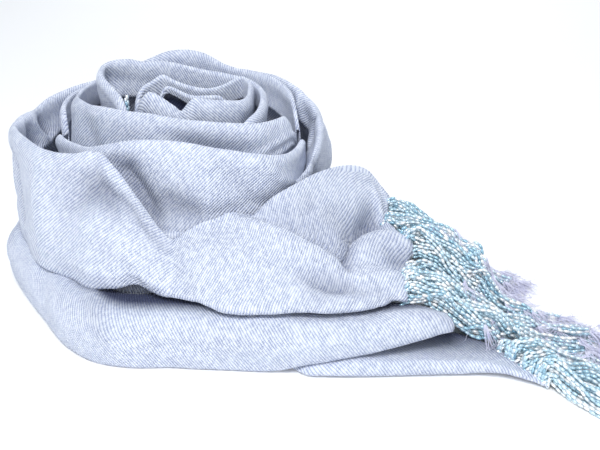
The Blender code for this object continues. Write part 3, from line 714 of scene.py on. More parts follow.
def turn_section(row, inside, outside, turned_under=False):
    """Inner ply, rolled rim and outer face of an upright turn, as (out, z) points."""
    rim = row["rim"]
    foot = row["foot"]
    half = FOLD_SHARP * row["roll"] / 2
    rim_out, rim_down = RIM_TURN
    lean, hang, roll = PLY_TURN
    inner = [
        (-half - row["back"], rim - row["tuck"]),
        (-half - lean * row["back"], rim - hang * row["tuck"] - roll * half),
        (-rim_out * half, rim - rim_down * half),
    ]
    outer = [(0, rim), (rim_out * half, rim - rim_down * half)]
    for down, stand, belly in FACE_BENDS:
        out = half + stand * row["out"] + belly * row["belly"]
        outer.append((out, rim + down * (foot - rim)))
    foot_out = half + row["out"]
    outer.append((foot_out, foot + FOOT_EASE))
    if turned_under:
        outer.append((foot_out - FOOT_TURN[0], foot - FOOT_TURN[1]))
        outer.append((foot_out - UNDER_HEM, foot))
    return along_section(inner + outer, len(inner), inside, outside)


def cuff_section(row, inside, outside):
    """Face, shoulder and upper ply of the fold under the tail's top, as (out, z) points."""
    foot = row["foot"]
    top = row["top"] - CUFF_SINK
    face = [(-UNDER_HEM, foot), (-CUFF_TURN[0], foot - CUFF_TURN[1])]
    for up, inset, share in CUFF_BENDS:
        face.append((-inset - share * row["set_in"], foot + up * (top - foot)))
    upper = [(-row["set_in"], top), (-row["set_in"] - row["run"], top)]
    return along_section(face + upper, len(face), outside, inside)


def slip_section(row, inside, outside):
    """Flange on the table, folded front edge and upper ply of the lowest fold, as (y, z)."""
    front = row["front"]
    bottom = SLIP_FLOOR + row["lift"]
    middle = (row["top"] + bottom) / 2
    turn, rise = SLIP_TURN
    edge = [(front + inward, bottom) for inward in SLIP_FLANGE]
    edge.append((front + turn, (1 - rise) * SLIP_FLOOR + rise * middle + row["lift"]))
    edge.append((front, middle))
    upper = [(front + inward, row["top"]) for inward in SLIP_SHOULDER]
    upper.append((row["behind"], row["top"]))
    return along_section(edge + upper, len(edge), outside, inside)


def layer_section(foot, top, inward, outside):
    """Lower ply, folded edge and upper ply of one layer of the heap, as (out, z) points."""
    middle = (top + foot) / 2
    inset, share = LAYER_ROUND
    rise = share * (top - foot)
    lower = [(-LAYER_PLY, foot), (-LAYER_FLAT, foot), (-inset, foot + rise)]
    upper = [(0, middle), (-inset, top - rise), (-LAYER_FLAT, top), (-inward, top)]
    return along_section(lower + upper, len(lower), LAYER_EDGE, outside)


def named(columns, values):
    """A table's row, or its columns, by their names."""
    return dict(zip(columns, values))


def unwrapped(rows):
    """The table with its headings made continuous, so that none turns the long way round."""
    table = np.array(rows, float)
    table[:, 0] = np.degrees(np.unwrap(np.radians(table[:, 0])))
    return table


def placed(row, section):
    """A section's (out, z) points stood at its row's place, looking the row's way."""
    way = math.radians(row["facing"])
    flat = np.outer(section[:, 0], (math.cos(way), math.sin(way))) + (row["x"], row["y"])
    return np.column_stack([flat, section[:, 1]])


def measured(points, crest):
    """A stretch of cloth: its grid of points, and how far along it and down from its crest
    each lies."""
    along = run_of(points[:, crest])
    steps = np.linalg.norm(np.diff(points, axis=1), axis=2)
    down = np.concatenate([np.zeros((len(points), 1)), np.cumsum(steps, axis=1)], axis=1)
    down -= down[:, crest, None]
    along = np.repeat(along[:, None], points.shape[1], axis=1)
    return {"points": points, "form": points.copy(), "along": along, "down": down}


def stretch(columns, rows, section, crest, **counts):
    """A stretch of cloth through a table's sections."""
    count = int(plan_length(rows) / STEP_ALONG)
    lines = []
    for values in between(unwrapped(rows), count):
        row = named(columns, values)
        lines.append(placed(row, section(row, **counts)))
    return measured(np.array(lines), crest)


def ends_sunk(points):
    """Lowers both ends of a turn, so that they sink between their neighbours."""
    number = np.arange(len(points))
    near = np.minimum(number, number[::-1]) * STEP_ALONG
    share = END_DROP * (1 - np.clip(near / END_REACH, 0, 1)) ** 2
    foot = points[:, -1:, 2]
    points[..., 2] = foot + (points[..., 2] - foot) * (1 - share[:, None])
    return points


def slip_stretch():
    """The lowest fold, whose sections all stand across the tail."""
    rows = [(0, values[0], 0) + values[1:] for values in TAIL_BOTTOM]
    lines = []
    for values in between(rows, int(plan_length(rows) / STEP_ALONG)):
        row = named(SLIP, np.delete(values, (0, 2)))
        section = slip_section(row, SLIP_PLY, SLIP_FACE)
        lines.append(np.column_stack([np.full(len(section), row["x"]), section]))
    return measured(np.array(lines), SLIP_FACE - 1)


def eased_round(values):
    """Values round a closed outline, with their corners eased."""
    ring = values[:-1]
    for _ in range(LAYER_EASE):
        ring = (np.roll(ring, 1) + 2 * ring + np.roll(ring, -1)) / 4
    return np.append(ring, ring[0])


def layer_stretch(number):
    """One folded layer of the heap: lower ply, folded edge and upper ply, all round. The
    highest one's upper ply runs in to the eye, under the coil."""
    tall = BED_TOP / BED_LAYERS
    half = (tall - LAYER_GAP) / 2
    height = (number + 0.5) * tall
    angles = np.arange(LAYER_START, LAYER_START + 360.1, LAYER_TURN)
    outline = named(BED[0], np.array(BED[1], float).T)
    low, high = (
        eased_round(np.interp(angles, outline["angle"], outline[side], period=360))
        for side in ("low", "high")
    )
    over, share = LAYER_DRAW
    drawn = share * np.clip((height - LAYER_STEP) / over, 0, 1) + (1 - share) * height / BED_TOP
    edge = low + (high - low) * drawn - LAYER_SET_IN - LAYER_STAGGER * (number % 2)
    edge = edge + edge_waves(angles, LAYER_WAVES, number)
    middle = height + edge_waves(angles, LAYER_SAG, number)
    last = number == BED_LAYERS - 1
    lines = []
    for angle, reach, z in zip(np.radians(angles), edge, middle):
        section = layer_section(
            max(z - half, LAYER_FLOOR),
            min(z + half, BED_TOP - LAYER_LID),
            reach - LAYER_EYE if last else LAYER_PLY,
            LAYER_FACE_TOP if last else LAYER_FACE,
        )
        out = reach + section[:, :1]
        plan = BED_EYE + out * (math.cos(angle), math.sin(angle))
        lines.append(np.column_stack([plan, section[:, 1]]))
    return measured(np.array(lines), LAYER_EDGE - 1)


def edge_waves(angles, waves, number):
    """Soft waves round the edge of one layer."""
    height, size, seed = waves
    return height * soft_noise(angles, np.zeros_like(angles), size, 1, seed + number)


def outward(points):
    """Unit normals of a grid of points, looking out of the turn on its outer face."""
    across = np.gradient(points, axis=0)
    down = np.gradient(points, axis=1)
    normals = np.cross(down, across)
    return normals / np.maximum(np.linalg.norm(normals, axis=2, keepdims=True), TINY)


def soft_noise(along, down, size_along, size_down, seed):
    """Smooth random waves, about one high, of the given sizes along and down the cloth."""
    rng = np.random.default_rng(seed)
    u = (along - along.min()) / size_along
    v = (down - down.min()) / size_down
    knots = rng.normal(size=(int(u.max()) + 3, int(v.max()) + 3))
    i = u.astype(int)
    j = v.astype(int)
    s = (u - i) ** 2 * (3 - 2 * (u - i))
    t = (v - j) ** 2 * (3 - 2 * (v - j))
    near = knots[i, j] * (1 - s) + knots[i + 1, j] * s
    far = knots[i, j + 1] * (1 - s) + knots[i + 1, j + 1] * s
    return near * (1 - t) + far * t


def crease_lift(along, down, creases):
    """How far each point of the cloth is lifted or sunk by the creases that pass it."""
    lift = np.zeros(along.shape)
    t = np.linspace(0, 1, CREASE_STEPS)
    for values in creases:
        crease = named(CREASE, values)
        start = np.array((crease["along_a"], crease["down_a"]), float)
        end = np.array((crease["along_b"], crease["down_b"]), float)
        way = (end - start) / np.linalg.norm(end - start)
        middle = (start + end) / 2 + 2 * crease["bow"] * np.array((-way[1], way[0]))
        line = bend(start, middle, end, t[:, None])
        away = np.hypot(along[..., None] - line[:, 0], down[..., None] - line[:, 1])
        place = np.clip(t[away.argmin(axis=-1)], *CREASE_ENDS)
        steep = CREASE_STEEP * away.min(axis=-1) / crease["width"]
        fade = np.sin(np.pi * place) ** CREASE_FADE
        lift += crease["rise"] * fade * np.exp(1 - np.sqrt(1 + steep**2))
    return lift


def creased(cloth, creases, wrinkle, seed):
    """Lifts a stretch of cloth along its normals by its creases and by fine soft wrinkles,
    which fade out towards its foot."""
    along, down = cloth["along"], cloth["down"]
    lift = crease_lift(along, down, creases) * bpy.context.scene.shawl_cloth.crease_depth
    fine = soft_noise(along, down, *WRINKLE_LONG, seed)
    fine = fine + WRINKLE_SHARE * soft_noise(along + down, down, *WRINKLE_SHORT, seed + 1)
    from_foot = np.clip((down[:, -1:] - down) / CALM_FOOT, 0, 1)
    from_edge = np.clip((down - down[:, :1]) / CALM_EDGE, CALM_LEAST, 1)
    lift = (lift + wrinkle * fine) * from_foot * from_edge
    cloth["points"] = cloth["points"] + outward(cloth["points"]) * lift[..., None]
    # painted shade in sunk creases: how far each point sinks, for darkening its colour
    cloth["hollow"] = np.clip(-lift / HOLLOW_DEEP, 0, 1)
    return cloth


def fold_lift(points, folds):
    """How far each point of a grid rises for the folds that pass it in plan."""
    lift = np.zeros(points.shape[:2])
    t = np.linspace(0, 1, FOLD_STEPS)
    for values in folds:
        fold = named(FOLD, values)
        start, through, end = (
            np.array((fold["x" + place], fold["y" + place]), float) for place in "amb"
        )
        line = bend(start, 2 * through - (start + end) / 2, end, t[:, None])
        away = np.hypot(points[..., 0, None] - line[:, 0], points[..., 1, None] - line[:, 1])
        place = np.interp(t[away.argmin(axis=-1)], (0, 1), FOLD_ENDS)
        near = np.exp(-((away.min(axis=-1) / fold["width"]) ** 2))
        lift += fold["rise"] * np.sin(np.pi * place) * near
    return lift


def to_hem(points):
    """Stretches the tail's last part so that its end follows the waves of the hem."""
    hem = np.array(TAIL_HEM[1], float)[::-1]
    end = points[-1, :, 0].max()
    reach = np.interp(points[..., 1], hem[:, 0], hem[:, 1]) - end
    share = np.clip((points[..., 0] - end + HEM_EASE) / HEM_EASE, 0, 1)
    points[..., 0] += reach * share**2
    return points


def flattened(points, flat):
    """The grid's places on the flat cloth, eased until neighbours lie as far apart there as
    they do on the form."""
    lines = [
        np.unique(np.linspace(0, size - 1, size // FLAT_STRIDE).astype(int))
        for size in points.shape[:2]
    ]
    form = points[np.ix_(*lines)]
    places = flat[np.ix_(*lines)]
    start = places.copy()
    whole, first, last = slice(None), slice(None, -1), slice(1, None)
    pairs = [
        ((first, whole), (last, whole)),
        ((whole, first), (whole, last)),
        ((first, first), (last, last)),
        ((first, last), (last, first)),
    ]
    spans = [np.linalg.norm(form[b] - form[a], axis=-1) for a, b in pairs]
    for _ in range(FLAT_ROUNDS):
        push = np.zeros_like(places)
        for (a, b), span in zip(pairs, spans):
            gap = places[b] - places[a]
            away = np.linalg.norm(gap, axis=-1)
            move = gap * ((away - span) / np.maximum(away, TINY))[..., None]
            push[a] += move
            push[b] -= move
        places = places + FLAT_PUSH * push
    return flat + spread_between(places - start, lines, points.shape[:2])


def spread_between(moves, lines, shape):
    """Moves known on some rows and columns of a grid, read for the whole of it."""
    every_row, every_column = (np.arange(size) for size in shape)
    known = [read_at(moves[:, j], lines[0], every_row) for j in range(len(lines[1]))]
    known = np.stack(known)
    return np.stack([read_at(known[:, i], lines[1], every_column) for i in every_row])


def rib_map(cloth, slope):
    """Places across and along the twill's ribs, which slope by that many degrees above the
    cloth's length."""
    flat = flattened(cloth["form"], np.stack([cloth["along"], cloth["down"]], axis=-1))
    along, down = flat[..., 0], flat[..., 1]
    slope = math.radians(slope)
    across = along * math.sin(slope) + down * math.cos(slope)
    onward = along * math.cos(slope) - down * math.sin(slope)
    return np.stack([across, onward], axis=-1) * MM


def heap_point(points):
    """Table millimetres to metres about the heap's centre."""
    return (points - (HEAP_CENTRE[0], HEAP_CENTRE[1], 0)) * MM


def table_points(name):
    """Points of a piece's mesh, back in the tables' millimetres."""
    mesh = bpy.data.objects[name].data
    points = np.empty(len(mesh.vertices) * 3)
    mesh.vertices.foreach_get("co", points)
    return points.reshape(-1, 3) / MM + (HEAP_CENTRE[0], HEAP_CENTRE[1], 0)


def new_piece(name, points, faces):
    """A smooth mesh of table points and faces, in the scene."""
    mesh = bpy.data.meshes.new(name)
    mesh.from_pydata(heap_point(points).reshape(-1, 3).tolist(), [], faces)
    mesh.shade_smooth()
    piece = bpy.data.objects.new(name, mesh)
    bpy.context.scene.collection.objects.link(piece)
    return piece


def grid_faces(along, across, closed):
    """Quads of a grid of points, joined round on itself if it is closed."""
    starts = np.arange(along if closed else along - 1)
    i, j = np.meshgrid(starts, np.arange(across - 1), indexing="ij")
    here = i * across + j
    after = (i + 1) % along * across + j
    return np.stack([here, here + 1, after + 1, after], axis=-1).reshape(-1, 4).tolist()


def give_map(piece, places):
    """Stores each point's place on the weave as the piece's UV map."""
    layer = piece.data.uv_layers.new(name=WEAVE_MAP)
    corners = np.empty(len(piece.data.loops), np.int32)
    piece.data.loops.foreach_get("vertex_index", corners)
    layer.uv.foreach_set("vector", places.reshape(-1, 2)[corners].astype(np.float32).ravel())


def give_tones(piece, name, values):
    """Stores a value for each point of a piece, for its material to read."""
    attribute = piece.data.attributes.new(name, "FLOAT", "POINT")
    attribute.data.foreach_set("value", values.astype(np.float32).ravel())


def give_ply(piece, thickness):
    """Gives a piece of cloth its thickness."""
    ply = piece.modifiers.new("ply", "SOLIDIFY")
    ply.thickness = thickness
    ply.offset = 0


def painted_shade_depths(name, cloth, hidden):
    """How deep in its fold each point lies, on the hidden sides of its crest: -1 before it, 1
    after it; given as a share of painted shade, raised where a sunk crease gets painted shade too."""
    start, deepest = PAINTED_SHADE_DEPTHS.get(name, PAINTED_SHADE_USUAL)
    depth = np.max([side * cloth["down"] for side in hidden], axis=0)
    share = np.clip((depth - start) / (deepest - start), 0, 1)
    return np.maximum(share, HOLLOW_PAINTED_SHADE * cloth["hollow"])


def cloth_piece(name, cloth, slope, nodes, hidden=(-1,), closed=False):
    settings = bpy.context.scene.shawl_cloth
    points = cloth["points"]
    lowest = settings.ply / MM / 2 + FLOOR_CLEAR
    points[..., 2] = np.maximum(points[..., 2], lowest)
    piece = new_piece(name, points, grid_faces(*points.shape[:2], closed))
    give_map(piece, rib_map(cloth, slope))
    # painted shade: darker colour in the depths of folds and in sunk creases
    give_tones(piece, PAINTED_SHADE, painted_shade_depths(name, cloth, hidden))
    give_ply(piece, settings.ply)
    piece.data.materials.append(twill_material(settings))
    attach(piece, "root")
    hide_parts(*nodes)
    return piece


class Pile:
    """How high the strands have piled up over each spot of the table, in millimetres."""

    def __init__(self, low, high, cell, radius):
        self.low = np.array(low, float)
        self.cell = cell
        self.heights = np.zeros(np.ceil((np.array(high) - low) / cell).astype(int) + 1)
        reach = int(radius / cell)
        steps = np.arange(-reach, reach + 1)
        i, j = (grid.ravel() for grid in np.meshgrid(steps, steps, indexing="ij"))
        square = radius**2 - (i * cell) ** 2 - (j * cell) ** 2
        self.steps = np.column_stack([i, j])[square > 0]
        self.round = np.sqrt(square[square > 0])

    def spots(self, plan, steps):
        """Cells of the table at the given steps from each point of a plan."""
        at = np.round((plan - self.low) / self.cell).astype(int)
        at = np.clip(at[:, None, :] + steps, 0, np.array(self.heights.shape) - 1)
        return at[..., 0], at[..., 1]

    def support(self, plan):
        """Lowest that a strand's middle may lie over each point of its plan."""
        return (self.heights[self.spots(plan, self.steps)] + self.round).max(axis=1)

    def lay(self, points):
        """Adds a strand to the pile."""
        tops = points[:, 2, None] + self.round
        np.maximum.at(self.heights, self.spots(points[:, :2], self.steps), tops)

    def rest_on(self, points, above):
        """Raises the table to a piece of cloth that the strands lie on."""
        spread = np.arange(-PILE_SPREAD, PILE_SPREAD + 1)
        steps = np.array([(i, j) for i in spread for j in spread])
        np.maximum.at(self.heights, self.spots(points[:, :2], steps), points[:, 2, None] + above)


def evenly(points, spacing, length):
    """Points read along a line at even spacing, up to the given length of it."""
    at = run_of(points)
    return read_at(points, at, np.arange(0, min(length, at[-1]), spacing))


def strand_plan(root, mass, length, rng):
    """Plan of one strand: it keeps its lane of the mass, but drifts and swings a little."""
    xs = np.arange(root[0], root[0] + length * STRAND_SPARE, STRAND_STEP)
    front = np.interp(xs, mass["x"], mass["front"])
    behind = np.interp(xs, mass["x"], mass["behind"])
    middle = (front + behind) / 2
    half = (behind - front) / 2
    start = (root[1] - middle[0]) / half[0]
    share = np.linspace(0, 1, len(xs))
    end = np.clip(start + rng.normal(0, STRAND_DRIFT), *STRAND_LANES)
    lane = start + (end - start) * share**2 * (3 - 2 * share)
    swing = rng.normal(0, STRAND_SWING) * np.sin(
        2 * np.pi * (share * rng.uniform(*STRAND_WAVES) + rng.random())
    )
    swing = (swing - swing[0]) * np.minimum(1, share / SWING_ONSET)
    return np.column_stack([xs, middle + lane * half + swing])


def strand_line(root, mass, length, pile, rng):
    """Line of one strand: it leaves the hem, droops, and lies with its neighbours."""
    plan = strand_plan(root, mass, length, rng)
    u = np.clip(run_of(plan) / (DROP_REACH + DROP_SLOPE * root[2]), 0, 1)
    support = pile.support(plan)
    z = np.maximum(root[2] * (1 - u) ** 2 * (1 + 2 * u), support)
    for _ in range(STRAND_EASE):
        z[1:-1] = np.maximum(support[1:-1], (z[:-2] + 2 * z[1:-1] + z[2:]) / 4)
    z[0] = root[2]
    line = np.column_stack([plan, z])
    line = line[plan[:, 0] < mass["x"][-1] + rng.uniform(*STRAND_PAST)]
    return evenly(line, STRAND_STEP, length)


def spokes(line, sides):
    """Unit directions along a line, and even spokes round each of its points."""
    along = np.gradient(line, axis=0)
    along /= np.linalg.norm(along, axis=1, keepdims=True)
    side = np.cross(along, (0.0, 0.0, 1.0))
    side /= np.maximum(np.linalg.norm(side, axis=1, keepdims=True), TINY)
    up = np.cross(side, along)
    turn = 2 * np.pi * np.arange(sides)[:, None] / sides
    return along, side[:, None] * np.cos(turn) + up[:, None] * np.sin(turn)


def bead_rings(line, across, length, gap):
    """Rings of points for every bead strung on a line, all in millimetres."""
    centres = evenly(line, length + gap, np.inf)[:-1]
    if len(centres) < 2:
        return np.zeros((0, BEAD_SIDES * len(BEAD_PROFILE), 3))
    along, spoke = spokes(centres, BEAD_SIDES)
    rings = []
    for place, width in BEAD_PROFILE:
        middle = centres + along * place * length
        rings.append(middle[:, None] + spoke * width * across / 2)
    return np.concatenate(rings, axis=1)


def thread_tube(line):
    """Rings of points for a thin thread that tapers along a line."""
    taper = np.linspace(1, THREAD_TIP, len(line))[:, None, None]
    spoke = spokes(line, THREAD_SIDES)[1]
    return (line[:, None] + spoke * THREAD_RADIUS * taper).reshape(-1, 3)


def tube_faces(rings, sides):
    """Faces of a tube through that many rings of points, closed at both ends."""
    faces = []
    for ring in range(0, (rings - 1) * sides, sides):
        for k in range(sides):
            after = (k + 1) % sides
            faces.append((ring + k, ring + after, ring + sides + after, ring + sides + k))
    faces.append(tuple(range(sides - 1, -1, -1)))
    faces.append(tuple(range((rings - 1) * sides, rings * sides)))
    return faces


def tubes_piece(name, tubes, rings, sides, material):
    """Joins many short closed tubes, each given by its rings of points, into one piece."""
    size = rings * sides
    one = tube_faces(rings, sides)
    starts = range(0, len(tubes) * size, size)
    faces = [tuple(start + corner for corner in face) for start in starts for face in one]
    piece = new_piece(name, tubes, faces)
    piece.data.materials.append(material)
    return piece


def bead_piece(name, lines, settings, nodes, rng):
    """Strings beads on every line, and joins them into one piece."""
    across = settings.bead_across / MM
    length = settings.bead_length / MM
    strands = [bead_rings(line, across, length, settings.bead_gap / MM) for line in lines]
    beads = np.concatenate(strands)
    tones = [
        rng.uniform(*STRAND_TONES) + rng.normal(0, TONE_SPREAD, len(rings)) for rings in strands
    ]
    # painted glint: a share of beads are given the whitest tone
    bright = rng.random(len(beads)) < PAINTED_GLINT_SHARE
    tones = np.where(bright, 1.0, np.clip(np.concatenate(tones), 0, 1))
    piece = tubes_piece(name, beads, len(BEAD_PROFILE), BEAD_SIDES, bead_material())
    give_tones(piece, BEAD_TONE, np.repeat(tones, beads.shape[1]))
    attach(piece, "root")
    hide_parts(*nodes)
    return piece


def thread_piece(name, lines):
    """Joins thin threads into one piece."""
    threads = np.array([thread_tube(line) for line in lines])
    piece = tubes_piece(name, threads, TUFT_POINTS, THREAD_SIDES, thread_material())
    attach(piece, "root")
    return piece


def tuft(line, pile, length, rng):
    """The few loose threads that end a strand, fanning out and lying down."""
    heading = line[-1] - line[-TUFT_BACK]
    angle = math.atan2(heading[1], heading[0])
    threads = []
    for _ in range(TUFT_THREADS):
        way = angle + rng.normal(0, TUFT_FAN)
        curl = rng.normal(0, TUFT_CURL)
        reach = length * rng.uniform(*TUFT_REACH)
        steps = np.linspace(0, reach, TUFT_POINTS)
        turning = way + curl * steps
        strides = np.column_stack([np.cos(turning), np.sin(turning)]) * reach / TUFT_POINTS
        plan = line[-1, :2] + np.cumsum(strides, axis=0)
        support = pile.support(plan) - pile.round.max() + TUFT_LIE
        u = steps / reach
        arch = rng.uniform(0, TUFT_LOFT) * np.sin(np.pi * u)
        z = np.maximum(support, line[-1, 2] * (1 - u) + arch)
        threads.append(np.column_stack([plan, z]))
    return threads


def slip_roots(count, rng):
    """Where strands leave the lowest fold's hem."""
    share = np.sort(rng.random(count))[:, None]
    start, end = np.array(SLIP_HEM, float)
    roots = start + (end - start) * share + rng.normal(0, SLIP_SCATTER, (count, 3))
    return roots[rng.permutation(count)]


def hem_roots(count, low_y, high_y, depth, rng):
    """Where strands leave one part of the outer turn's hem, lowest first."""
    hem = table_points("outer_turn")[-(TURN_PLY - 1 + TURN_FACE_TALL):]
    hem = hem[hem[:, 1].argsort()]
    ys = rng.uniform(low_y, high_y, count)
    xs = np.interp(ys, hem[:, 1], hem[:, 0]) - rng.uniform(*ROOT_INSET, count)
    tops = np.interp(ys, hem[:, 1], hem[:, 2]) - ROOT_UNDER
    zs = np.maximum(tops - depth * rng.random(count) ** ROOT_CROWD, ROOT_LOWEST)
    roots = np.column_stack([xs, ys, zs])
    return roots[(zs + rng.normal(0, ROOT_SHUFFLE, count)).argsort()]


def shader_group(name, inputs, outputs):
    """A new shader node group with the given sockets, and its two ends."""
    group = bpy.data.node_groups.new(name, "ShaderNodeTree")
    for label, kind, default in inputs:
        socket = group.interface.new_socket(label, in_out="INPUT", socket_type=kind)
        if default is not None:
            socket.default_value = default
    for label, kind in outputs:
        group.interface.new_socket(label, in_out="OUTPUT", socket_type=kind)
    return group, group.nodes.new("NodeGroupInput"), group.nodes.new("NodeGroupOutput")


def math_node(tree, operation, *values):
    """A Math node whose inputs are sockets or plain numbers; gives its output."""
    node = tree.nodes.new("ShaderNodeMath")
    node.operation = operation
    for socket, value in zip(node.inputs, values):
        if isinstance(value, bpy.types.NodeSocket):
            tree.links.new(value, socket)
        else:
            socket.default_value = value
    return node.outputs[0]


def twill_group():
    """Twill weave: ribs of short slanting floats, with a random tone and height for each."""
    group, ends_in, ends_out = shader_group(
        "twill_weave",
        [
            ("Place", "NodeSocketVector", None),
            ("Pitch", "NodeSocketFloat", 0.0019),
            ("Float Length", "NodeSocketFloat", 0.0016),
            ("Waver", "NodeSocketFloat", 0.16),
        ],
        [("Height", "NodeSocketFloat"), ("Groove", "NodeSocketFloat"), ("Tone", "NodeSocketFloat")],
    )
    links = group.links
    place, pitch, length, waver = (
        ends_in.outputs[label] for label in ("Place", "Pitch", "Float Length", "Waver")
    )

    def calc(operation, *values):
        return math_node(group, operation, *values)

    def ridge(value):
        """Rises from 0 at each whole number to 1 halfway to the next."""
        return calc("MULTIPLY", calc("PINGPONG", value, 0.5), 2.0)

    def fading(value, slope):
        """Falls from 1 where a value is 0, at a slope, to 0 and no lower."""
        return calc("MAXIMUM", calc("MULTIPLY_ADD", value, slope, 1.0), 0.0)

    parts =group.nodes.new("ShaderNodeSeparateXYZ")
    links.new(place, parts.inputs[0])
    across = calc("DIVIDE", parts.outputs["X"], pitch)
    for scale, strength in WAVERS:
        noise = group.nodes.new("ShaderNodeTexNoise")
        noise.inputs["Scale"].default_value = scale
        noise.inputs["Detail"].default_value = 1
        links.new(place, noise.inputs["Vector"])
        offset = calc("MULTIPLY", calc("SUBTRACT", noise.outputs["Fac"], 0.5), strength)
        across = calc("MULTIPLY_ADD", offset, waver, across)
    number = calc("FLOOR", across)
    onward = calc("DIVIDE", parts.outputs["Y"], length)
    onward = calc("ADD", onward, calc("MULTIPLY", number, RIB_STAGGER))
    slant = calc("MULTIPLY_ADD", across, FLOAT_SLANT, onward)
    rib = ridge(across)
    dash = ridge(slant)

    cell =group.nodes.new("ShaderNodeCombineXYZ")
    links.new(number, cell.inputs[0])
    links.new(calc("FLOOR", slant), cell.inputs[1])
    random = group.nodes.new("ShaderNodeTexWhiteNoise")
    links.new(cell.outputs[0], random.inputs["Vector"])
    tone = random.outputs["Value"]

    groove = fading(rib, GROOVE_SLOPE)
    groove = calc("MULTIPLY", groove, calc("MULTIPLY_ADD", tone, *GROOVE_TONE))
    gap = calc("MULTIPLY", fading(dash, GAP_SLOPE), calc("MULTIPLY", tone, GAP_TONE))
    height = calc("SMOOTH_MIN", rib, *RIB_CROWN)
    bow = calc("SMOOTH_MIN", dash, *FLOAT_CROWN)
    height = calc("MULTIPLY", height, calc("MULTIPLY_ADD", bow, *FLOAT_HEIGHT))
    height = calc("MULTIPLY", height, calc("MULTIPLY_ADD", tone, *TONE_HEIGHT))
    links.new(height, ends_out.inputs["Height"])
    links.new(calc("MINIMUM", calc("MAXIMUM", groove, gap), 1.0), ends_out.inputs["Groove"])
    links.new(tone, ends_out.inputs["Tone"])
    return group


def new_material(name, **values):
    """A Principled material with these constant values on the shader's own sockets."""
    material = bpy.data.materials.new(name)
    material.use_nodes = True
    shader = material.node_tree.nodes["Principled BSDF"]
    for label, value in values.items():
        shader.inputs[label.replace("_", " ")].default_value = value
    return material, material.node_tree, shader


def blend_node(tree, share, first, second):
    """Mixes two colours, each a socket or a constant, by a share from 0 to 1."""
    node = tree.nodes.new("ShaderNodeMix")
    node.data_type = "RGBA"
    tree.links.new(share, node.inputs["Factor"])
    for label, value in (("A", first), ("B", second)):
        socket = next(s for s in node.inputs if s.name == label and s.type == "RGBA")
        if isinstance(value, bpy.types.NodeSocket):
            tree.links.new(value, socket)
        else:
            socket.default_value = value
    return next(s for s in node.outputs if s.type == "RGBA")


def attribute_node(tree, name):
    """Reads a value stored on a piece's points; gives its output."""
    node = tree.nodes.new("ShaderNodeAttribute")
    node.attribute_name = name
    return node.outputs["Fac"]


def twill_material(settings):
    """Pale twill: bright ribs, bluer between them, a soft sheen and a raised weave, with painted
    shade that darkens the depths of its folds and its sunk creases.
    """
    known = bpy.data.materials.get("shawl_twill")
    if known:
        return known
    material, tree, shader = new_material(
        "shawl_twill",
        Roughness=0.7,
        Sheen_Weight=0.35,
        Sheen_Roughness=0.35,
        Sheen_Tint=(0.85, 0.9, 1.0, 1.0),
        Specular_IOR_Level=0.35,
    )
    place = tree.nodes.new("ShaderNodeUVMap")
    place.uv_map = WEAVE_MAP
    weave = tree.nodes.new("ShaderNodeGroup")
    weave.node_tree = twill_group()
    weave.inputs["Pitch"].default_value = settings.rib_pitch
    weave.inputs["Float Length"].default_value = settings.float_length
    tree.links.new(place.outputs["UV"], weave.inputs["Place"])
    tone = weave.outputs["Tone"]
    rib = blend_node(tree, tone, tuple(settings.rib_colour), tuple(settings.float_colour))
    base = blend_node(tree, weave.outputs["Groove"], rib, tuple(settings.groove_colour))
    # painted shade: the colour darkens towards the shade colour in deep folds and sunk creases
    pocket = attribute_node(tree, PAINTED_SHADE)
    shade = math_node(tree, "MULTIPLY", pocket, settings.painted_shade_share)
    base = blend_node(tree, shade, base, tuple(settings.painted_shade_colour))
    tree.links.new(base, shader.inputs["Base Color"])
    gloss = math_node(tree, "MULTIPLY_ADD", tone, *TWILL_GLOSS)
    tree.links.new(gloss, shader.inputs["Roughness"])
    relief = tree.nodes.new("ShaderNodeBump")
    relief.inputs["Distance"].default_value = settings.weave_relief
    relief.inputs["Strength"].default_value = 1.0
    tree.links.new(weave.outputs["Height"], relief.inputs["Height"])
    tree.links.new(relief.outputs["Normal"], shader.inputs["Normal"])
    return material


def bead_material():
    """Silver-lined aqua glass beads, each with its own tone, the whitest of which is a painted
    glint.
    """
    known = bpy.data.materials.get("aqua_beads")
    if known:
        return known
    material, tree, shader = new_material(
        "aqua_beads", Metallic=0.25, Roughness=0.16, Coat_Weight=1.0, Coat_Roughness=0.05, IOR=1.5
    )
    tone = attribute_node(tree, BEAD_TONE)
    ramp = tree.nodes.new("ShaderNodeValToRGB")
    stops = ramp.color_ramp.elements
    for place, colour in BEAD_COLOURS_AND_GLINT:
        stop = stops[0] if place == 0 else stops.new(place)
        stop.position = place
        stop.color = colour
    stops.remove(stops[-1])
    tree.links.new(tone, ramp.inputs["Fac"])
    tree.links.new(ramp.outputs["Color"], shader.inputs["Base Color"])
    gloss = math_node(tree, "MULTIPLY_ADD", tone, *BEAD_GLOSS)
    tree.links.new(gloss, shader.inputs["Roughness"])
    return material


def thread_material():
    """Loose threads of the cloth, from bluish to nearly white."""
    material, tree, shader = new_material(
        "loose_thread", Roughness=0.8, Sheen_Weight=0.5, Sheen_Roughness=0.4
    )
    noise = tree.nodes.new("ShaderNodeTexNoise")
    noise.inputs["Scale"].default_value = THREAD_MOTTLE
    place = tree.nodes.new("ShaderNodeTexCoord")
    tree.links.new(place.outputs["Object"], noise.inputs["Vector"])
    colour = blend_node(tree, noise.outputs["Fac"], *THREAD_COLOURS)
    tree.links.new(colour, shader.inputs["Base Color"])
    return material


def lay_floor():
    """Lays a plain pale floor."""
    bpy.ops.mesh.primitive_plane_add(size=FLOOR_SIZE, location=(0, 0, 0))
    floor = bpy.context.object
    floor.name = "floor"
    material = new_material("pale_floor", Base_Color=(0.97, 0.97, 0.97, 1), Roughness=0.6)[0]
    floor.data.materials.append(material)


def stood(thing, place, way):
    """Adds a lamp or a camera to the scene, standing at a place and looking that way."""
    stand = bpy.data.objects.new(thing.name, thing)
    stand.location = place
    stand.rotation_euler = way.to_track_quat("-Z", "Y").to_euler()
    bpy.context.scene.collection.objects.link(stand)
    return stand


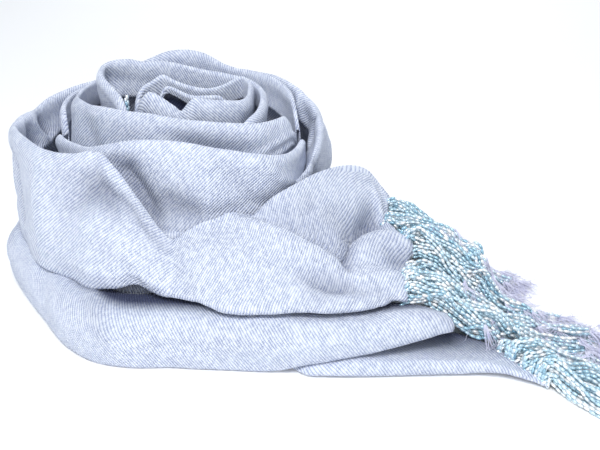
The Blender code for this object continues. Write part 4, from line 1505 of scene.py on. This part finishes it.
def soft_light(settings):
    """Lights the studio with a pale sky and large soft lamps."""
    world = bpy.data.worlds.new("studio")
    world.use_nodes = True
    sky = world.node_tree.nodes["Background"]
    sky.inputs["Color"].default_value = WORLD_COLOUR
    sky.inputs["Strength"].default_value = WORLD_STRENGTH
    bpy.context.scene.world = world
    for name, place, spot, size, power in LAMPS:
        lamp = bpy.data.lights.new(name, "AREA")
        lamp.size = size
        lamp.energy = power * settings.lamp_power
        stood(lamp, place, Vector(spot) - Vector(place))
    view = bpy.context.scene.view_settings
    view.view_transform = "Standard"
    view.gamma = VIEW_GAMMA
    view.exposure = VIEW_EXPOSURE


def stand_camera(settings):
    """Stands the camera in front of the shawl, looking at the tables' origin."""
    spot = Vector((-HEAP_CENTRE[0] * MM, -HEAP_CENTRE[1] * MM, 0))
    tilt = settings.elevation
    away = Vector((0, -math.cos(tilt), math.sin(tilt))) * settings.distance
    camera = bpy.data.cameras.new("camera")
    camera.lens = settings.lens
    camera.sensor_width = SENSOR_WIDTH
    camera.clip_start = CLIP_START
    bpy.context.scene.camera = stood(camera, spot + away, -away)


class ShawlClothSettings(bpy.types.PropertyGroup):
    """Sizes and colours of the cloth"""

    ply: FloatProperty(
        name="Ply", description="Thickness of the cloth", default=0.0006, unit="LENGTH"
    )
    rib_pitch: FloatProperty(
        name="Rib Pitch", description="From one rib of the twill to the next",
        default=0.00142, unit="LENGTH",
    )
    float_length: FloatProperty(
        name="Float Length", description="Length of a thread's float along a rib",
        default=0.0012, unit="LENGTH",
    )
    weave_relief: FloatProperty(
        name="Weave Relief", description="Height of the ribs", default=0.0006, unit="LENGTH"
    )
    wrinkle: FloatProperty(
        name="Wrinkles", description="Height of the cloth's fine wrinkles, in millimetres",
        default=0.45,
    )
    crease_depth: FloatProperty(
        name="Crease Depth", description="Depth of the creases, beside the tables'",
        default=1.6, min=0.0,
    )
    rib_colour: FloatVectorProperty(
        name="Rib Colour", description="Colour on the ribs", size=4, subtype="COLOR",
        default=(0.80, 0.84, 0.92, 1.0),
    )
    float_colour: FloatVectorProperty(
        name="Float Colour", description="Colour of the bluer floats", size=4, subtype="COLOR",
        default=(0.74, 0.79, 0.90, 1.0),
    )
    groove_colour: FloatVectorProperty(
        name="Groove Colour", description="Colour between the ribs", size=4, subtype="COLOR",
        default=(0.24, 0.29, 0.50, 1.0),
    )
    # painted shade: how far the depths of folds and sunk creases are darkened in colour
    painted_shade_share: FloatProperty(
        name="Painted Pocket Shade", description="How far the depths of the folds darken",
        default=0.97, min=0, max=1,
    )
    # painted shade: the dark colour that those depths are darkened towards
    painted_shade_colour: FloatVectorProperty(
        name="Painted Shade Colour", description="Colour in the depths of the folds",
        size=4, subtype="COLOR", default=(0.03, 0.04, 0.10, 1.0),
    )


class ShawlFringeSettings(bpy.types.PropertyGroup):
    """Sizes of the beads and tufts"""

    bead_across: FloatProperty(
        name="Bead Width", description="Diameter of a bead", default=0.0018, unit="LENGTH"
    )
    bead_length: FloatProperty(
        name="Bead Length", description="Length of a bead along its strand",
        default=0.0031, unit="LENGTH",
    )
    bead_gap: FloatProperty(
        name="Bead Gap", description="Bare thread between two beads",
        default=0.0002, unit="LENGTH",
    )
    tuft_length: FloatProperty(
        name="Tuft Length", description="Length of the thread tuft at a strand's end",
        default=0.013, unit="LENGTH",
    )
    seed: IntProperty(name="Seed", description="Chooses the lie of the strands", default=7, min=0)


class ShawlStageSettings(bpy.types.PropertyGroup):
    """The camera's view and the light"""

    lens: FloatProperty(name="Lens", description="Focal length in millimetres", default=50.0)
    elevation: FloatProperty(
        name="Elevation", description="How far above the table the camera looks from",
        default=math.radians(27.5), subtype="ANGLE",
    )
    distance: FloatProperty(
        name="Distance", description="From the camera to the spot that it looks at",
        default=0.575, unit="LENGTH",
    )
    lamp_power: FloatProperty(
        name="Lamp Power", description="Power of the soft key lamp", default=7.0, unit="POWER"
    )


class SHAWL_OT_stage(bpy.types.Operator):
    """Lays the pale floor and sets up the lamps and the camera"""

    bl_idname = "shawl.stage"
    bl_label = "Stage"

    def execute(self, context):
        settings = context.scene.shawl_stage
        lay_floor()
        soft_light(settings)
        stand_camera(settings)
        return {"FINISHED"}


class SHAWL_OT_layers(bpy.types.Operator):
    """Builds the folded edges of the layers hidden inside the heap"""

    bl_idname = "shawl.layers"
    bl_label = "Hidden Layers"

    def execute(self, context):
        for number in range(BED_LAYERS):
            name = f"layer_{number + 1}"
            cloth = creased(layer_stretch(number), [], LAYER_WRINKLE, LAYER_SEED + number)
            cloth_piece(
                name, cloth, RIB_SLOPE, ("inner_layers",),
                hidden=(-1, 1), closed=True,
            )
        return {"FINISHED"}


class SHAWL_OT_under_folds(bpy.types.Operator):
    """Builds the two folds under the tail: the cuff along the table and the slip below it"""

    bl_idname = "shawl.under_folds"
    bl_label = "Under Folds"

    def execute(self, context):
        wrinkle = context.scene.shawl_cloth.wrinkle
        cuff = stretch(
            CUFF, TAIL_MIDDLE, cuff_section, CUFF_FACE - 1, inside=CUFF_PLY, outside=CUFF_FACE
        )
        cloth_piece(
            "under_fold", creased(cuff, CUFF_CREASES, wrinkle, CUFF_SEED), CUFF_SLOPE,
            ("tail_middle",), hidden=(1,),
        )
        cloth_piece(
            "slip_fold", creased(slip_stretch(), SLIP_CREASES, wrinkle, SLIP_SEED), SLIP_SLOPE,
            ("tail_bottom",), hidden=(1,),
        )
        return {"FINISHED"}


class SHAWL_OT_outer_turn(bpy.types.Operator):
    """Builds the outermost turn, from the right round the back and left to the tail's hem"""

    bl_idname = "shawl.outer_turn"
    bl_label = "Outer Turn"

    def execute(self, context):
        wrap = WRAP_RIGHT + WRAP_LEFT[::-1]
        rows = wrap + TAIL_TOP
        cloth = stretch(
            TURN, rows, turn_section, TURN_PLY - 1,
            inside=TURN_PLY, outside=TURN_FACE_TALL, turned_under=True,
        )
        start = int(len(cloth["points"]) * plan_length(wrap) / plan_length(rows))
        tail = cloth["points"][start:]
        tail[..., 2] += fold_lift(tail, TAIL_FOLDS)
        cloth = creased(cloth, OUTER_CREASES, context.scene.shawl_cloth.wrinkle, OUTER_SEED)
        cloth["points"] = to_hem(cloth["points"])
        cloth_piece(
            "outer_turn", cloth, RIB_SLOPE, ("wrap_right", "wrap_left", "tail_top"),
        )
        return {"FINISHED"}


class SHAWL_OT_coil(bpy.types.Operator):
    """Builds the turns of the rosette, from its eye outwards"""

    bl_idname = "shawl.coil"
    bl_label = "Coil"

    def execute(self, context):
        wrinkle = context.scene.shawl_cloth.wrinkle
        for number, (name, rows) in enumerate(COIL.items()):
            cloth = stretch(
                TURN, rows, turn_section, TURN_PLY - 1, inside=TURN_PLY, outside=TURN_FACE_LOW
            )
            cloth["points"] = ends_sunk(cloth["points"])
            cloth = creased(cloth, COIL_CREASES.get(name, []), wrinkle, COIL_SEED + 2 * number)
            cloth_piece(
                "turn_" + name, cloth, RIB_SLOPE, ("coil_" + name,),
                hidden=(-1,) if name in COIL_FACES else (-1, 1),
            )
        return {"FINISHED"}


class SHAWL_OT_fringe(bpy.types.Operator):
    """Strings the beaded fringe along the hems, lays it down and adds its thread tufts"""

    bl_idname = "shawl.fringe"
    bl_label = "Beaded Fringe"

    def execute(self, context):
        settings = context.scene.shawl_fringe
        rng = np.random.default_rng(settings.seed)
        pile = Pile(PILE_LOW, PILE_HIGH, PILE_CELL, settings.bead_across / MM / 2)
        for name in ("slip_fold", "under_fold"):
            pile.rest_on(table_points(name), CLOTH_LIFT)
        tufts = []
        for name, rows, count, reach, spread, part in FRINGES:
            mass = named(MASS, np.array(rows, float).T)
            shortest, longest = (share * reach for share in STRAND_LENGTHS)
            roots = hem_roots(count, *part, rng) if part else slip_roots(count, rng)
            lines = []
            for root in roots:
                length = np.clip(rng.normal(reach, spread), shortest, longest)
                line = strand_line(root, mass, length, pile, rng)
                pile.lay(line)
                lines.append(line)
                tufts.extend(tuft(line, pile, settings.tuft_length / MM, rng))
            bead_piece(name + "_beads", lines, settings, (name,), rng)
        thread_piece("fringe_tufts", tufts)
        return {"FINISHED"}


class SHAWL_OT_eye_tuft(bpy.types.Operator):
    """Adds the few beads of the far end's fringe that show in the roll's eye"""

    bl_idname = "shawl.eye_tuft"
    bl_label = "Eye Tuft"

    def execute(self, context):
        settings = context.scene.shawl_fringe
        rng = np.random.default_rng(settings.seed + 1)
        t = np.linspace(0, 1, EYE_POINTS)[:, None]
        lines = []
        for x, y, z, lean_x, lean_y in EYE_STRANDS:
            hang = np.array((lean_x, lean_y, -EYE_HANG)) * t
            belly = np.array(EYE_BELLY) * np.sin(np.pi * t)
            lines.append(evenly((x, y, z) + hang + belly, STRAND_STEP, np.inf))
        bead_piece("eye_beads", lines, settings, ("fringe_eye",), rng)
        return {"FINISHED"}


SETTINGS = {
    "shawl_cloth": ShawlClothSettings,
    "shawl_fringe": ShawlFringeSettings,
    "shawl_stage": ShawlStageSettings,
}
OPERATORS = (
    SHAWL_OT_stage,
    SHAWL_OT_layers,
    SHAWL_OT_under_folds,
    SHAWL_OT_outer_turn,
    SHAWL_OT_coil,
    SHAWL_OT_fringe,
    SHAWL_OT_eye_tuft,
)


class SHAWL_PT_panel(bpy.types.Panel):
    """Lists the shawl's pieces and its settings"""

    bl_label = "Rolled Fringed Shawl"
    bl_idname = "SHAWL_PT_panel"
    bl_space_type = "VIEW_3D"
    bl_region_type = "UI"
    bl_category = "Shawl"

    def draw(self, context):
        for operator in OPERATORS:
            self.layout.operator(operator.bl_idname)
        for name, group in SETTINGS.items():
            box = self.layout.box()
            for label in group.__annotations__:
                box.prop(getattr(context.scene, name), label)


CLASSES = tuple(SETTINGS.values()) + OPERATORS + (SHAWL_PT_panel,)


def register():
    for cls in CLASSES:
        bpy.utils.register_class(cls)
    for name, group in SETTINGS.items():
        setattr(bpy.types.Scene, name, PointerProperty(type=group))


def unregister():
    for name in SETTINGS:
        delattr(bpy.types.Scene, name)
    for cls in reversed(CLASSES):
        bpy.utils.unregister_class(cls)


def main():
    register()
    bpy.ops.shawl.stage()
    bpy.ops.shawl.layers()
    bpy.ops.shawl.under_folds()
    bpy.ops.shawl.outer_turn()
    bpy.ops.shawl.coil()
    bpy.ops.shawl.fringe()
    bpy.ops.shawl.eye_tuft()


if __name__ == "__main__":
    main()
